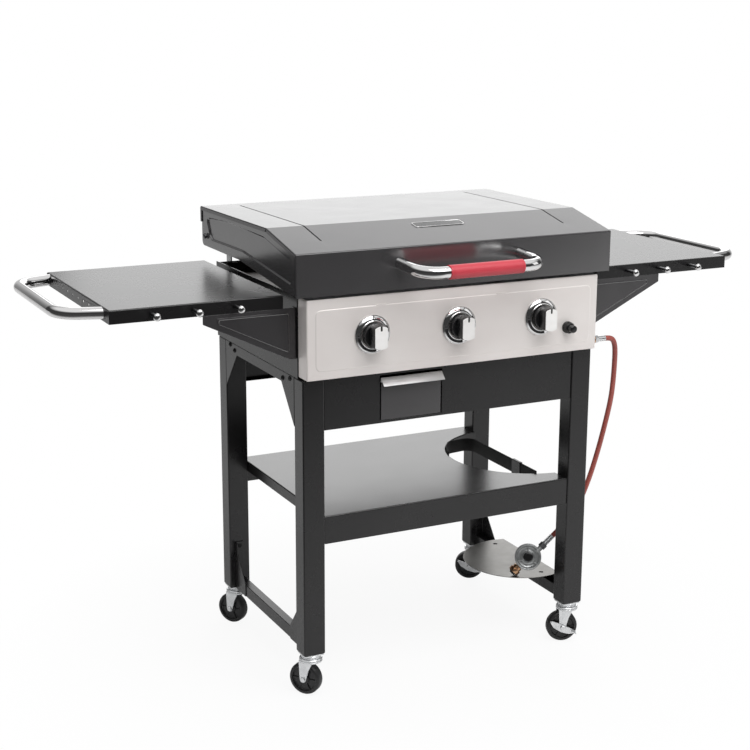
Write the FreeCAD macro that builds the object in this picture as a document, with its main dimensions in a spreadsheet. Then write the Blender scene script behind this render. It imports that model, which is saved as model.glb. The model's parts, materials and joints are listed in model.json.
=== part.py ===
import FreeCAD, Part
import Sketcher
import math
import os
import re

# Outdoor gas griddle station, millimetres, +Z up, +X to the right, front towards -Y.
# The origin lies on the floor under the centre of the outer box.

V = FreeCAD.Vector
doc = FreeCAD.newDocument("griddle_station")

SIZES = {
    # cart frame: distances from the middle of the leg frame and heights above the floor
    "frame_half_x": 356,
    "frame_half_y": 241,
    "leg_width": 50,
    "leg_depth": 45,
    "leg_wall": 1.5,
    "leg_end": 3,
    "raceway_height": 7.1,
    "leg_top": 712,
    "rail_height": 24,
    "rail_sheet": 2,
    "rail_flange": 20,
    "gusset_run": 68,
    "gusset_drop": 84,
    "low_rail_width": 20,
    "low_rail_height": 28,
    "low_rail_wall": 1.5,
    "bracket_sheet": 2,
    "bracket_tab_height": 117,
    "bracket_run": 63,
    "bracket_low_height": 32,
    "bracket_top_run": 16,
    "bracket_slant_height": 92,
    "bolt_radius": 5.5,
    "bolt_height": 3,
    "bolt_crown": 3.5,
    # aprons
    "apron_inset": 3,
    "apron_height": 112,
    "apron_sheet": 2,
    "apron_flange": 18,
    "drawer_centre_x": -101,
    "drawer_opening_width": 150,
    "drawer_sill": 6,
    "drawer_head": 7,
    "runner_sheet": 2,
    "runner_width": 16,
    "runner_depth": 216,
    "tray_clearance": 0.3,
    "tray_side_gap": 3,
    "tray_height": 72,
    "tray_depth": 205,
    "tray_wall": 1.2,
    "front_plate_gap": 5,
    "pull_reach": 15.5,
    "pull_sheet": 1.2,
    "pull_tab": 10,
    "pull_overhang": 1.5,
    # lower shelf with the round notch for a bottle
    "shelf_deck": 410,
    "shelf_inset": 3,
    "shelf_sheet": 2,
    "shelf_front_skirt": 62,
    "shelf_side_skirt": 24,
    "notch_inset": 26,
    "notch_y": -3,
    "notch_radius": 186,
    "strap_gap": 0.5,
    "strap_thickness": 3,
    "strap_below": 27,
    "strap_above": 5,
    "strap_offset": 68,
    "strap_bend": 25,
    "strap_ease": 10,
    "strap_turn": 135,
    "buckle_ahead": 87.5,
    "buckle_length": 36,
    "buckle_thickness": 8,
    "buckle_rim": 2,
    # tank plate
    "plate_inset": 55,
    "plate_y": -43,
    "plate_radius": 133,
    "plate_edge_inset": 18,
    "plate_sheet": 1.5,
    "plate_hole_radius": 5,
    "plate_hole_spread": 106.5,
    "channel_height": 22.1,
    "channel_inset": 68,
    "channel_ahead": 122,
    "channel_behind": 123,
    "channel_sheet": 2,
    # firebox
    "firebox_inset": 24,
    "firebox_rear_inset": 9,
    "firebox_wing_reach": 15,
    "firebox_height": 174.4,
    "firebox_sheet": 1.5,
    "ledge_drop": 16.4,
    "ledge_reach": 30,
    "ledge_lip": 25,
    "outlet_inset": 39,
    "outlet_radius": 15,
    "outlet_wall": 3,
    "outlet_reach": 12,
    "outlet_clearance": 10,
    "seat_width": 12,
    "seat_length": 150,
    "griddle_side_gap": 2.5,
    "griddle_front_gap": 2,
    "griddle_rear_gap": 3,
    "griddle_drop": 29.4,
    "griddle_plate": 5,
    "griddle_depth": 27,
    "griddle_rim": 3,
    "burner_radius": 19,
    "burner_wall": 1.5,
    # control panel
    "panel_inset": 2,
    "panel_reach": 18.5,
    "panel_gap": 3,
    "panel_height": 170,
    "panel_sheet": 1.2,
    "border_left_gap": 19,
    "border_right_gap": 18,
    "border_foot": 18,
    "border_head": 22,
    "border_raise": 1,
    "border_corner": 13,
    "knob_rise": 87,
    "knob_pitch": 206,
    "bezel_radius": 38,
    "bezel_crown": 34.5,
    "bezel_base": 4,
    "bezel_slope": 4,
    "knob_radius": 26,
    "knob_ring_gap": 2.5,
    "knob_back_gap": 4.5,
    "knob_body": 18,
    "knob_fin_width": 29,
    "knob_fin": 21.5,
    "knob_round": 1.5,
    "knob_bore_depth": 14,
    "stem_radius": 4,
    "running_gap": 0.05,
    "stem_seat": 15,
    "valve_width": 22,
    "valve_inset": 16,
    "valve_length": 24,
    "valve_crown": 13,
    "valve_wall": 6,
    "nozzle_radius": 5,
    "pipe_radius": 9.5,
    "pipe_ahead": 11,
    "pipe_rise": 15,
    "pipe_tail": 34,
    "pipe_reach": 12,
    "panel_pipe_gap": 1,
    "hex_half": 7.5,
    "hex_length": 10,
    "ferrule_radius": 5.85,
    "ferrule_length": 20,
    "hose_radius": 6,
    "igniter_away": 70,
    "igniter_drop": 30,
    "collar_radius": 13.3,
    "collar_height": 5,
    "barrel_radius": 11,
    "barrel_depth": 26,
    "barrel_floor": 3,
    "button_radius": 8.5,
    "button_reach": 29.5,
    "button_inner": 10,
    # lid
    "lid_overhang": 24,
    "lid_rear_reach": 41,
    "ridge_rise": 3,
    "lid_flange": 35.5,
    "slope_run": 154,
    "lid_height": 122,
    "lid_front_reach": 25,
    "slope_drop": 32.5,
    "lid_gap": 5.6,
    "lid_sheet": 1.2,
    "strip_depth": 9,
    "cap_sheet": 1.8,
    "cap_gap": 6,
    "cap_rise": 30,
    "cap_corner": 12,
    "cap_knee": 232,
    "cap_lip": 1,
    "emboss_raise": 0.8,
    "hinge_in": 13.3,
    "hinge_rise": 53.5,
    "hinge_rod_radius": 4,
    "hinge_nut_radius": 6.5,
    "hinge_nut_length": 5,
    "hinge_inset": 33,
    "hinge_plate_sheet": 3,
    "hinge_plate_radius": 14,
    "hinge_foot": 24,
    "badge_length": 120,
    "badge_width": 28,
    "badge_sheet": 1.5,
    "badge_x": 4,
    "badge_down": 28.9,
    "handle_radius": 12.7,
    "handle_wall": 1.5,
    "handle_root_x": 164,
    "handle_height": 44,
    "handle_rise": 5,
    "handle_reach": 103,
    "handle_lean": 48,
    "handle_bend": 30,
    "grip_half": 87.5,
    "grip_radius": 14.75,
    # side shelves
    "wing_gap": 3,
    "wing_length": 367,
    "wing_front_inset": 31,
    "wing_back_reach": 9,
    "wing_rise": 3.6,
    "wing_skirt": 28,
    "wing_sheet": 1.2,
    "wing_hole_radius": 2.6,
    "wing_hole_pitch": 39,
    "wing_hole_first": -71,
    "wing_hole_drop": 13.5,
    "web_sheet": 2,
    "web_run": 175,
    "web_outer_height": 18,
    "web_knee": 29,
    "web_heel_rise": 7,
    "web_foot": 42,
    "web_heel": 13,
    "web_flange": 16,
    "tab_inset": 7,
    "tab_length": 160,
    "tab_overlap": 10,
    "web_border": 8,
    "web_raise": 0.8,
    "end_handle_radius": 12.25,
    "end_handle_front_inset": 47,
    "end_handle_back_inset": 23,
    "end_handle_reach": 81.4,
    "end_handle_lean": 26.9,
    "end_handle_bend": 58.4,
    "hook_start_left": 107,
    "hook_start_right": 82,
    "hook_pitch": 87.5,
    "fitting_drop": 13,
    "hook_stem_radius": 4,
    "hook_stem": 38,
    "hook_flare": 3,
    "hook_head_radius": 8,
    "hook_head": 4,
    # casters
    "caster_plate_x": 46,
    "caster_plate_y": 42,
    "caster_plate": 3,
    "raceway_radius": 22,
    "race_gap": 0.3,
    "crown_height": 10,
    "pin_drop": 2.5,
    "crown_radius": 25.5,
    "pin_radius": 6,
    "pin_head_radius": 9,
    "pin_head": 2,
    "wheel_clearance": 2.5,
    "wheel_radius": 36.5,
    "wheel_half": 12,
    "tyre_chamfer": 5.5,
    "tyre_side": 4,
    "wheel_hub_radius": 12,
    "wheel_recess": 4,
    "tyre_depth": 8.5,
    "trail": 12,
    "fork_gap": 1.5,
    "fork_sheet": 2.5,
    "fork_front": 4,
    "fork_back": 22,
    "fork_ear": 7.5,
    "axle_radius": 4,
    "axle_head_radius": 6.5,
    "axle_head": 3,
    "rocker_gap": 0.4,
    "rocker_sheet": 2,
    "rocker_half": 34,
    "rocker_high": 4,
    "rocker_low": 12,
    "rocker_toe": 9,
    "rocker_toe_width": 12,
    "rocker_heel": 5,
    "rocker_tilt": 25,
    "turn_front_left": 128,
    "turn_front_right": 160,
    "turn_rear_left": 125,
    "turn_rear_right": 150,
    # regulator lying on the tank plate
    "reg_left": 37,
    "reg_ahead": 104,
    "reg_z": 194.1,
    "reg_radius": 31.5,
    "reg_cover": 12,
    "reg_back": 16,
    "reg_back_radius": 18,
    "vent_radius": 11.5,
    "vent_height": 6,
    "neck_radius": 6,
    "neck_length": 14,
    "nut_radius": 12.5,
    "nut_length": 18,
    "nut_away": 32,
    "nose_radius": 7,
    "nose_length": 5,
    "outlet_hex_radius": 9,
    "outlet_hex_length": 12,
    "outlet_ferrule_radius": 6.6,
    "outlet_ferrule_length": 26,
}

# Positions that follow from the sizes, as sums of their names.
RELATED = {
    "pin_low": "wheel_radius + wheel_radius + wheel_clearance",
    "crown_low": "pin_low + pin_drop",
    "crown_high": "crown_low + crown_height",
    "leg_foot": "crown_high + race_gap + raceway_height + caster_plate",
    "wheel_shoulder": "wheel_radius - tyre_chamfer",
    "wheel_rim_radius": "wheel_radius - tyre_depth",
    "wheel_tread_half": "wheel_half - tyre_side",
    "wheel_disc_half": "wheel_half - wheel_recess",
    "drawer_opening_low": "leg_top - apron_height + drawer_sill",
    "drawer_opening_high": "leg_top - drawer_head",
    "front_plate_high": "drawer_opening_high - front_plate_gap",
    "strap_low": "shelf_deck - strap_below",
    "strap_high": "shelf_deck + strap_above",
    "firebox_top": "leg_top + firebox_height",
    "ledge_z": "firebox_top - ledge_drop",
    "outlet_low": "leg_top - outlet_reach",
    "griddle_under": "firebox_top - griddle_drop",
    "griddle_rim_high": "griddle_under + griddle_depth",
    "burner_z": "knob_z",
    "panel_low": "leg_top + panel_gap",
    "panel_high": "panel_low + panel_height",
    "border_low": "panel_low + border_foot",
    "border_high": "panel_high - border_head",
    "knob_z": "panel_low + knob_rise",
    "valve_high": "knob_z + valve_crown",
    "pipe_z": "panel_low + pipe_rise",
    "igniter_z": "knob_z - igniter_drop",
    "lid_front_low": "firebox_top + lid_gap",
    "ridge_z": "lid_front_low + lid_height",
    "lid_rear_z": "ridge_z - ridge_rise",
    "lid_front_z": "ridge_z - slope_drop",
    "cap_front_low": "lid_front_low - cap_lip",
    "cap_rear_low": "lid_front_low + cap_rise",
    "hinge_z": "lid_front_low + hinge_rise",
    "handle_root_z": "lid_front_low + handle_height",
    "wing_top": "firebox_top + wing_rise",
    "wing_hole_z": "wing_top - wing_hole_drop",
    "hook_z": "wing_top - fitting_drop",
    "end_handle_z": "wing_top - fitting_drop",
    "web_low": "leg_top + web_foot",
    "web_inner_low": "web_low + web_heel_rise",
    "web_outer_low": "wing_top - wing_skirt - web_outer_height",
    "panel_half": "frame_half_x - panel_inset",
    "border_left": "panel_half - border_left_gap",
    "border_right": "panel_half - border_right_gap",
    "igniter_x": "knob_pitch + igniter_away",
    "pipe_right": "panel_half + pipe_reach",
    "pipe_left": "- knob_pitch - pipe_tail",
    "lid_half": "frame_half_x + lid_overhang",
    "hinge_plate_x": "frame_half_x - hinge_inset",
    "wing_inner": "lid_half + wing_gap",
    "wing_outer": "wing_inner + wing_length",
    "tab_start": "wing_inner + tab_inset",
    "tab_end": "tab_start + tab_length",
    "web_outer": "wing_inner + web_run",
    "web_inner": "frame_half_x + web_knee",
    "web_corner_x": "frame_half_x + web_heel",
    "hook_first_left": "wing_inner + hook_start_left",
    "hook_first_right": "wing_inner + hook_start_right",
    "notch_x": "frame_half_x - notch_inset",
    "strap_line_x": "notch_x - strap_offset",
    "plate_x": "frame_half_x - plate_inset",
    "plate_edge_x": "frame_half_x - plate_edge_inset",
    "channel_inner_x": "frame_half_x - channel_inset",
    "reg_x": "plate_x - reg_left",
    "reg_y": "plate_y - reg_ahead",
    "channel_front": "plate_y - channel_ahead",
    "channel_back": "plate_y + channel_behind",
    "buckle_y": "notch_y - buckle_ahead",
    "firebox_front": "- frame_half_y + firebox_inset",
    "firebox_rear": "frame_half_y - firebox_rear_inset",
    "firebox_wing": "firebox_rear + firebox_wing_reach",
    "ledge_back": "firebox_rear + ledge_reach",
    "outlet_y": "firebox_front + outlet_inset",
    "panel_front": "frame_half_y + panel_reach",
    "valve_back": "frame_half_y - valve_inset",
    "valve_front": "valve_back + valve_length",
    "valve_bore_back": "valve_back + valve_wall",
    "stem_inner": "valve_back + stem_seat",
    "pipe_y": "- valve_back - pipe_ahead",
    "lid_rear": "frame_half_y + lid_rear_reach",
    "lid_front": "frame_half_y + lid_front_reach",
    "cap_rear": "lid_rear - cap_gap",
    "cap_knee_y": "lid_rear - cap_knee",
    "ridge_y": "- lid_front + slope_run",
    "hinge_y": "ledge_back - hinge_in",
    "wing_front": "- frame_half_y + wing_front_inset",
    "wing_back": "frame_half_y + wing_back_reach",
    "end_handle_front": "wing_front + end_handle_front_inset",
    "end_handle_back": "wing_back - end_handle_back_inset",
}

# Points of the gas hose from the inlet fitting down to the regulator, in leg-frame millimetres.
HOSE_ROUTE = [
    (396.3, -236, 730), (409.5, -236, 730), (421.5, -233.5, 723), (430.5, -228, 706.5),
    (436, -222, 684), (440.5, -215, 656), (444.5, -207.5, 620), (446.3, -199.5, 575),
    (440.5, -190.5, 518), (429, -182, 449), (411.5, -174.5, 376), (386, -170, 312),
    (364, -167, 281), (342, -165, 260.6), (320, -163, 242),
]

sheet = doc.addObject("Spreadsheet::Sheet", "D")
for row, (alias, value) in enumerate(SIZES.items(), 1):
    sheet.set(f"A{row}", alias)
    sheet.set(f"B{row}", str(value))
    sheet.setAlias(f"B{row}", alias)
doc.recompute()


def size(name):
    """Value of a sheet cell, or of a position worked out from cells."""
    if name not in RELATED:
        return float(sheet.get(name))
    total = 0
    sign = 1
    for word in RELATED[name].split():
        if word in "+-":
            sign = 1 if word == "+" else -1
        else:
            total += sign * size(word)
    return total


FUNCTIONS = {"atan", "sqrt", "cos", "sin"}


def ex(text):
    """Turn an expression of names into one that reads the sheet."""
    def cell(found):
        word = found.group(0)
        if word in FUNCTIONS:
            return word
        return f"({ex(RELATED[word])})" if word in RELATED else "D." + word

    return re.sub(r"[a-z][a-z_0-9]*", cell, str(text))


# The lid grip reaches furthest to the front and the lid furthest to the rear.
SHIFT = "(lid_front + handle_reach + grip_radius - lid_rear) / 2"
shift = (size("lid_front") + size("handle_reach") + size("grip_radius") - size("lid_rear")) / 2

AXES = {
    "x": FreeCAD.Rotation(V(0, 1, 0), 90),
    "y": FreeCAD.Rotation(V(1, 0, 0), -90),
    "z": FreeCAD.Rotation(),
}


def place(thing, x, y, z, local=False):
    """Bind a position; every leaf moves with the shared origin unless it is local to a caster."""
    thing.setExpression("Placement.Base.x", ex(x))
    thing.setExpression("Placement.Base.y", ex(y if local else f"({y}) + {SHIFT}"))
    thing.setExpression("Placement.Base.z", ex(z))
    return thing


def box(name, x, y, z, local=False):
    thing = doc.addObject("Part::Box", name)
    for prop, (low, high) in (("Length", x), ("Width", y), ("Height", z)):
        thing.setExpression(prop, ex(f"({high}) - ({low})"))
    return place(thing, x[0], y[0], z[0], local)


def cylinder(name, axis, radius, length, at, local=False):
    """Cylinder along an axis letter or a direction vector, from its base centre."""
    thing = doc.addObject("Part::Cylinder", name)
    thing.setExpression("Radius", ex(radius))
    thing.setExpression("Height", ex(length))
    turn = AXES[axis] if isinstance(axis, str) else FreeCAD.Rotation(V(0, 0, 1), axis)
    thing.Placement = FreeCAD.Placement(V(), turn)
    return place(thing, *at, local=local)


def cone(name, axis, radius, far_radius, length, at, local=False):
    thing = doc.addObject("Part::Cone", name)
    thing.setExpression("Radius1", ex(radius))
    thing.setExpression("Radius2", ex(far_radius))
    thing.setExpression("Height", ex(length))
    turn = AXES[axis] if isinstance(axis, str) else FreeCAD.Rotation(V(0, 0, 1), axis)
    thing.Placement = FreeCAD.Placement(V(), turn)
    return place(thing, *at, local=local)


def fuse(name, *things):
    thing = doc.addObject("Part::MultiFuse", name)
    thing.Shapes = list(things)
    thing.Refine = True
    return thing


def cut(name, base, *tools):
    thing = doc.addObject("Part::Cut", name)
    thing.Base = base
    thing.Tool = tools[0] if len(tools) == 1 else fuse(name + "_tools", *tools)
    return thing


def common(name, first, second):
    thing = doc.addObject("Part::Common", name)
    thing.Base = first
    thing.Tool = second
    return thing


def group(name, *things):
    thing = doc.addObject("Part::Compound", name)
    thing.Links = list(things)
    return thing


def outline(sketch, points):
    """Closed polygon whose corners are bound to expressions."""
    count = len(points)
    start = [V(math.cos(2 * math.pi * i / count), math.sin(2 * math.pi * i / count), 0) * 50
             for i in range(count)]
    for i in range(count):
        sketch.addGeometry(Part.LineSegment(start[i], start[(i + 1) % count]), False)
    for i in range(count):
        sketch.addConstraint(Sketcher.Constraint("Coincident", i, 2, (i + 1) % count, 1))
    for i, (across, up) in enumerate(points):
        for kind, text, begin in (("DistanceX", across, start[i].x), ("DistanceY", up, start[i].y)):
            number = sketch.addConstraint(Sketcher.Constraint(kind, -1, 1, i, 1, begin))
            sketch.setExpression(f"Constraints[{number}]", ex(text))


def body_sketch(name, role, points):
    body = doc.addObject("PartDesign::Body", name)
    sketch = body.newObject("Sketcher::SketchObject", name + "_sketch")
    plane = next(feature for feature in body.Origin.OriginFeatures if feature.Role == role)
    sketch.AttachmentSupport = [(plane, "")]
    sketch.MapMode = "FlatFace"
    outline(sketch, points)
    return body, sketch


def profile(name, role, points, depth, at, local=False):
    """Polygon on an origin plane padded towards +X (YZ), +Y (XZ) or +Z (XY)."""
    body, sketch = body_sketch(name, role, points)
    pad = body.newObject("PartDesign::Pad", name + "_pad")
    pad.Profile = sketch
    pad.setExpression("Length", ex(depth))
    pad.Reversed = role == "XZ_Plane"
    return place(body, *at, local=local)


def turned(name, points, at, local=False):
    """Polygon of (radius, height) turned about its own vertical axis."""
    body, sketch = body_sketch(name, "XZ_Plane", points)
    turn = body.newObject("PartDesign::Revolution", name + "_turn")
    turn.Profile = sketch
    turn.ReferenceAxis = (sketch, ["V_Axis"])
    turn.Angle = 360
    return place(body, *at, local=local)


def span(side, low, high):
    """The same pair of distances on the right (1) or mirrored on the left (-1)."""
    return (low, high) if side > 0 else (f"-({high})", f"-({low})")


def signed(side, text):
    return f"({text})" if side > 0 else f"-({text})"


NODES = []


def node(label, thing):
    thing.Label = label
    NODES.append(thing)
    return thing


SIDES = {"left": -1, "right": 1}
ENDS = {"front": -1, "rear": 1}
LEG_IN_X = "frame_half_x - leg_width"
LEG_IN_Y = "frame_half_y - leg_depth"
LEG_MID_X = "frame_half_x - leg_width / 2"
LEG_MID_Y = "frame_half_y - leg_depth / 2"

# Legs: closed rectangular tubes.
for end, fore in ENDS.items():
    for side, sign in SIDES.items():
        name = f"leg_{end}_{side}"
        outer = box(name + "_outer", span(sign, LEG_IN_X, "frame_half_x"),
                    span(fore, LEG_IN_Y, "frame_half_y"), ("leg_foot", "leg_top"))
        inner = box(name + "_inner", span(sign, f"{LEG_IN_X} + leg_wall", "frame_half_x - leg_wall"),
                    span(fore, f"{LEG_IN_Y} + leg_wall", "frame_half_y - leg_wall"),
                    ("leg_foot + leg_end", "leg_top - leg_end"))
        node(name, cut(name + "_tube", outer, inner))

# Upper side rails: flush webs with triangular corner gussets and inward flanges.
RAIL_LOW = "leg_top - rail_height"
GUSSET_IN = f"{LEG_IN_Y} - gusset_run"
rail_outline = [(f"-({LEG_IN_Y})", "leg_top"), (LEG_IN_Y, "leg_top"),
                (LEG_IN_Y, f"{RAIL_LOW} - gusset_drop"), (GUSSET_IN, RAIL_LOW),
                (f"-({GUSSET_IN})", RAIL_LOW), (f"-({LEG_IN_Y})", f"{RAIL_LOW} - gusset_drop")]
rails = []
for side, sign in SIDES.items():
    skin = span(sign, "frame_half_x - rail_sheet", "frame_half_x")
    web = profile(f"rail_web_{side}", "YZ_Plane", rail_outline, "rail_sheet", (skin[0], 0, 0))
    flange_x = span(sign, "frame_half_x - rail_flange", "frame_half_x")
    top = box(f"rail_top_{side}", flange_x, (f"-({LEG_IN_Y})", LEG_IN_Y), ("leg_top - rail_sheet", "leg_top"))
    low = box(f"rail_low_{side}", flange_x, (f"-({GUSSET_IN})", GUSSET_IN),
              (RAIL_LOW, f"{RAIL_LOW} + rail_sheet"))
    rails.append(fuse(f"rail_{side}", web, top, low))
node("upper_rails", group("rail_pair", *rails))

# Lower side rails, centred on the legs, and the channel that carries the tank plate.
LOW_RAIL_OUT = f"{LEG_MID_X} + low_rail_width / 2"
LOW_RAIL_IN = f"{LEG_MID_X} - low_rail_width / 2"
LOW_RAIL_END = f"{LEG_IN_Y} - bracket_sheet"
LOW_RAIL_TOP = "leg_foot + low_rail_height"
lows = []
for side, sign in SIDES.items():
    length = (f"-({LOW_RAIL_END})", LOW_RAIL_END)
    outer = box(f"low_rail_outer_{side}", span(sign, LOW_RAIL_IN, LOW_RAIL_OUT), length,
                ("leg_foot", LOW_RAIL_TOP))
    inner = box(f"low_rail_inner_{side}",
                span(sign, f"{LOW_RAIL_IN} + low_rail_wall", f"{LOW_RAIL_OUT} - low_rail_wall"), length,
                ("leg_foot + low_rail_wall", f"{LOW_RAIL_TOP} - low_rail_wall"))
    lows.append(cut(f"low_rail_{side}", outer, inner))
CHANNEL_TOP = f"{LOW_RAIL_TOP} + channel_height"
channel_outer = box("channel_outer", ("channel_inner_x", LOW_RAIL_OUT), ("channel_front", "channel_back"),
                    (LOW_RAIL_TOP, CHANNEL_TOP))
channel_inner = box("channel_inner", ("channel_inner_x + channel_sheet", f"{LOW_RAIL_OUT} - channel_sheet"),
                    ("channel_front", "channel_back"), (LOW_RAIL_TOP, f"{CHANNEL_TOP} - channel_sheet"))
node("lower_rails", group("low_rail_group", *lows, cut("channel", channel_outer, channel_inner)))

# Folded corner brackets between the lower rails and the legs.
brackets = []
for end, fore in ENDS.items():
    for side, sign in SIDES.items():
        flange_points = [(signed(fore, LEG_IN_Y), "leg_foot"),
                         (signed(fore, f"{LEG_IN_Y} - bracket_run"), "leg_foot"),
                         (signed(fore, f"{LEG_IN_Y} - bracket_run"), "leg_foot + bracket_low_height"),
                         (signed(fore, f"{LEG_IN_Y} - bracket_top_run"), "leg_foot + bracket_slant_height"),
                         (signed(fore, f"{LEG_IN_Y} - bracket_top_run"), "leg_foot + bracket_tab_height"),
                         (signed(fore, LEG_IN_Y), "leg_foot + bracket_tab_height")]
        skin = span(sign, LOW_RAIL_OUT, f"{LOW_RAIL_OUT} + bracket_sheet")
        flange = profile(f"bracket_flange_{end}_{side}", "YZ_Plane", flange_points, "bracket_sheet",
                         (skin[0], 0, 0))
        tab = box(f"bracket_tab_{end}_{side}", span(sign, LOW_RAIL_IN, f"{LOW_RAIL_OUT} + bracket_sheet"),
                  span(fore, f"{LEG_IN_Y} - bracket_sheet", LEG_IN_Y),
                  ("leg_foot", "leg_foot + bracket_tab_height"))
        brackets.append(fuse(f"bracket_{end}_{side}", flange, tab))
node("lower_rail_brackets", group("bracket_group", *brackets))

# Aprons between the legs; the front one carries the grease drawer on two angle runners.
APRON_OUT = "frame_half_y - apron_inset"
APRON_IN = f"{APRON_OUT} - apron_sheet"
APRON_LOW = "leg_top - apron_height"
APRON_X = (f"-({LEG_IN_X})", LEG_IN_X)
OPEN_LEFT = "drawer_centre_x - drawer_opening_width / 2"
OPEN_RIGHT = "drawer_centre_x + drawer_opening_width / 2"


def apron(name, fore):
    """Plain apron: skin with a top and a bottom flange."""
    skin = box(name + "_skin", APRON_X, span(fore, APRON_IN, APRON_OUT), (APRON_LOW, "leg_top"))
    deep = span(fore, f"{APRON_OUT} - apron_flange", APRON_OUT)
    top = box(name + "_top", APRON_X, deep, ("leg_top - apron_sheet", "leg_top"))
    low = box(name + "_low", APRON_X, deep, (APRON_LOW, f"{APRON_LOW} + apron_sheet"))
    return fuse(name + "_plain", skin, top, low)


node("rear_apron", apron("rear_apron_part", 1))
RUNNER_BACK = f"-({APRON_IN}) + runner_depth"
drawer_hole = box("drawer_hole", (OPEN_LEFT, OPEN_RIGHT),
                  (f"-({APRON_OUT}) - 1", f"-({APRON_IN}) + apron_sheet"),
                  ("drawer_opening_low", "drawer_opening_high"))
runner_parts = []
for side, sign in SIDES.items():
    edge = OPEN_LEFT if sign < 0 else OPEN_RIGHT
    foot_x = (edge, f"{edge} + runner_width") if sign < 0 else (f"{edge} - runner_width", edge)
    wall_x = (f"{edge} - runner_sheet", edge) if sign < 0 else (edge, f"{edge} + runner_sheet")
    runner_y = (f"-({APRON_IN})", RUNNER_BACK)
    runner_parts.append(box(f"runner_foot_{side}", foot_x, runner_y,
                            ("drawer_opening_low - runner_sheet", "drawer_opening_low")))
    runner_parts.append(box(f"runner_wall_{side}", wall_x, runner_y,
                            ("drawer_opening_low - runner_sheet", "drawer_opening_low + tray_height / 2")))
runner_parts.append(box("runner_hanger", (f"{OPEN_LEFT} - runner_sheet", f"{OPEN_RIGHT} + runner_sheet"),
                        (RUNNER_BACK, f"{RUNNER_BACK} + runner_sheet"),
                        ("drawer_opening_low - runner_sheet", "leg_top")))
node("front_apron", fuse("front_apron_part", cut("front_apron_open", apron("front_apron_skin", -1), drawer_hole),
                         *runner_parts))

# Grease tray with its front plate, and the slanting pull on the front plate.
TRAY_X = (f"{OPEN_LEFT} + tray_side_gap", f"{OPEN_RIGHT} - tray_side_gap")
TRAY_LOW = "drawer_opening_low + tray_clearance"
TRAY_FRONT = f"-({APRON_OUT})"
TRAY_BACK = f"{TRAY_FRONT} + tray_depth"
tray_outer = box("tray_outer", TRAY_X, (TRAY_FRONT, TRAY_BACK), (TRAY_LOW, f"{TRAY_LOW} + tray_height"))
tray_inner = box("tray_inner", (f"{TRAY_X[0]} + tray_wall", f"{TRAY_X[1]} - tray_wall"),
                 (f"{TRAY_FRONT} + tray_wall", f"{TRAY_BACK} - tray_wall"),
                 (f"{TRAY_LOW} + tray_wall", f"{TRAY_LOW} + tray_height + 1"))
tray_front = box("tray_front", TRAY_X, (TRAY_FRONT, f"{TRAY_FRONT} + tray_wall"),
                 (TRAY_LOW, "front_plate_high"))
node("grease_tray", fuse("tray_part", cut("tray_shell", tray_outer, tray_inner), tray_front))
PULL_Y = f"{TRAY_FRONT} - pull_sheet"
pull_points = [(TRAY_FRONT, "front_plate_high"), (PULL_Y, "front_plate_high"),
               (f"{PULL_Y} - pull_reach", "front_plate_high - pull_reach"),
               (f"{PULL_Y} - pull_reach + pull_sheet * 0.7", "front_plate_high - pull_reach - pull_sheet * 0.7"),
               (PULL_Y, "front_plate_high - pull_sheet * 1.4"),
               (PULL_Y, "front_plate_high - pull_tab"), (TRAY_FRONT, "front_plate_high - pull_tab")]
node("drawer_pull", profile("pull_part", "YZ_Plane", pull_points,
                            "drawer_opening_width - tray_side_gap * 2 + pull_overhang * 2",
                            (f"{TRAY_X[0]} - pull_overhang", 0, 0)))

# Lower shelf: a tray turned over between the legs, with the round notch and its turned-down lip.
SHELF_Y = "frame_half_y - shelf_inset"
shelf_x = (f"-({LEG_IN_X})", LEG_IN_X)
shelf_y = (f"-({SHELF_Y})", SHELF_Y)
skirt_z = ("shelf_deck - shelf_side_skirt", "shelf_deck")
shelf_outer = box("shelf_outer", shelf_x, shelf_y, skirt_z)
shelf_inner = box("shelf_inner", (f"-({LEG_IN_X}) + shelf_sheet", f"{LEG_IN_X} - shelf_sheet"),
                  (f"-({SHELF_Y}) + shelf_sheet", f"{SHELF_Y} - shelf_sheet"),
                  ("shelf_deck - shelf_side_skirt", "shelf_deck - shelf_sheet"))
shelf_skirts = [box(f"shelf_skirt_{end}", shelf_x, span(fore, f"{SHELF_Y} - shelf_sheet", SHELF_Y),
                    ("shelf_deck - shelf_front_skirt", "shelf_deck")) for end, fore in ENDS.items()]
NOTCH_AT = ("notch_x", "notch_y", "shelf_deck - shelf_front_skirt")
notch = cylinder("notch", "z", "notch_radius", "shelf_front_skirt * 2", NOTCH_AT)
LIP_AT = ("notch_x", "notch_y", "shelf_deck - shelf_side_skirt")
lip_ring = cut("lip_ring", cylinder("lip_outer", "z", "notch_radius + shelf_sheet", "shelf_side_skirt", LIP_AT),
               cylinder("lip_inner", "z", "notch_radius", "shelf_side_skirt", LIP_AT))
lip_box = box("lip_box", ("notch_x - notch_radius - shelf_sheet", LEG_IN_X), shelf_y, skirt_z)
shelf_sheet_part = cut("shelf_notched", fuse("shelf_tray", cut("shelf_shell", shelf_outer, shelf_inner),
                                             *shelf_skirts), notch)
node("lower_shelf", fuse("shelf_part", shelf_sheet_part, common("shelf_lip", lip_ring, lip_box)))


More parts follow.
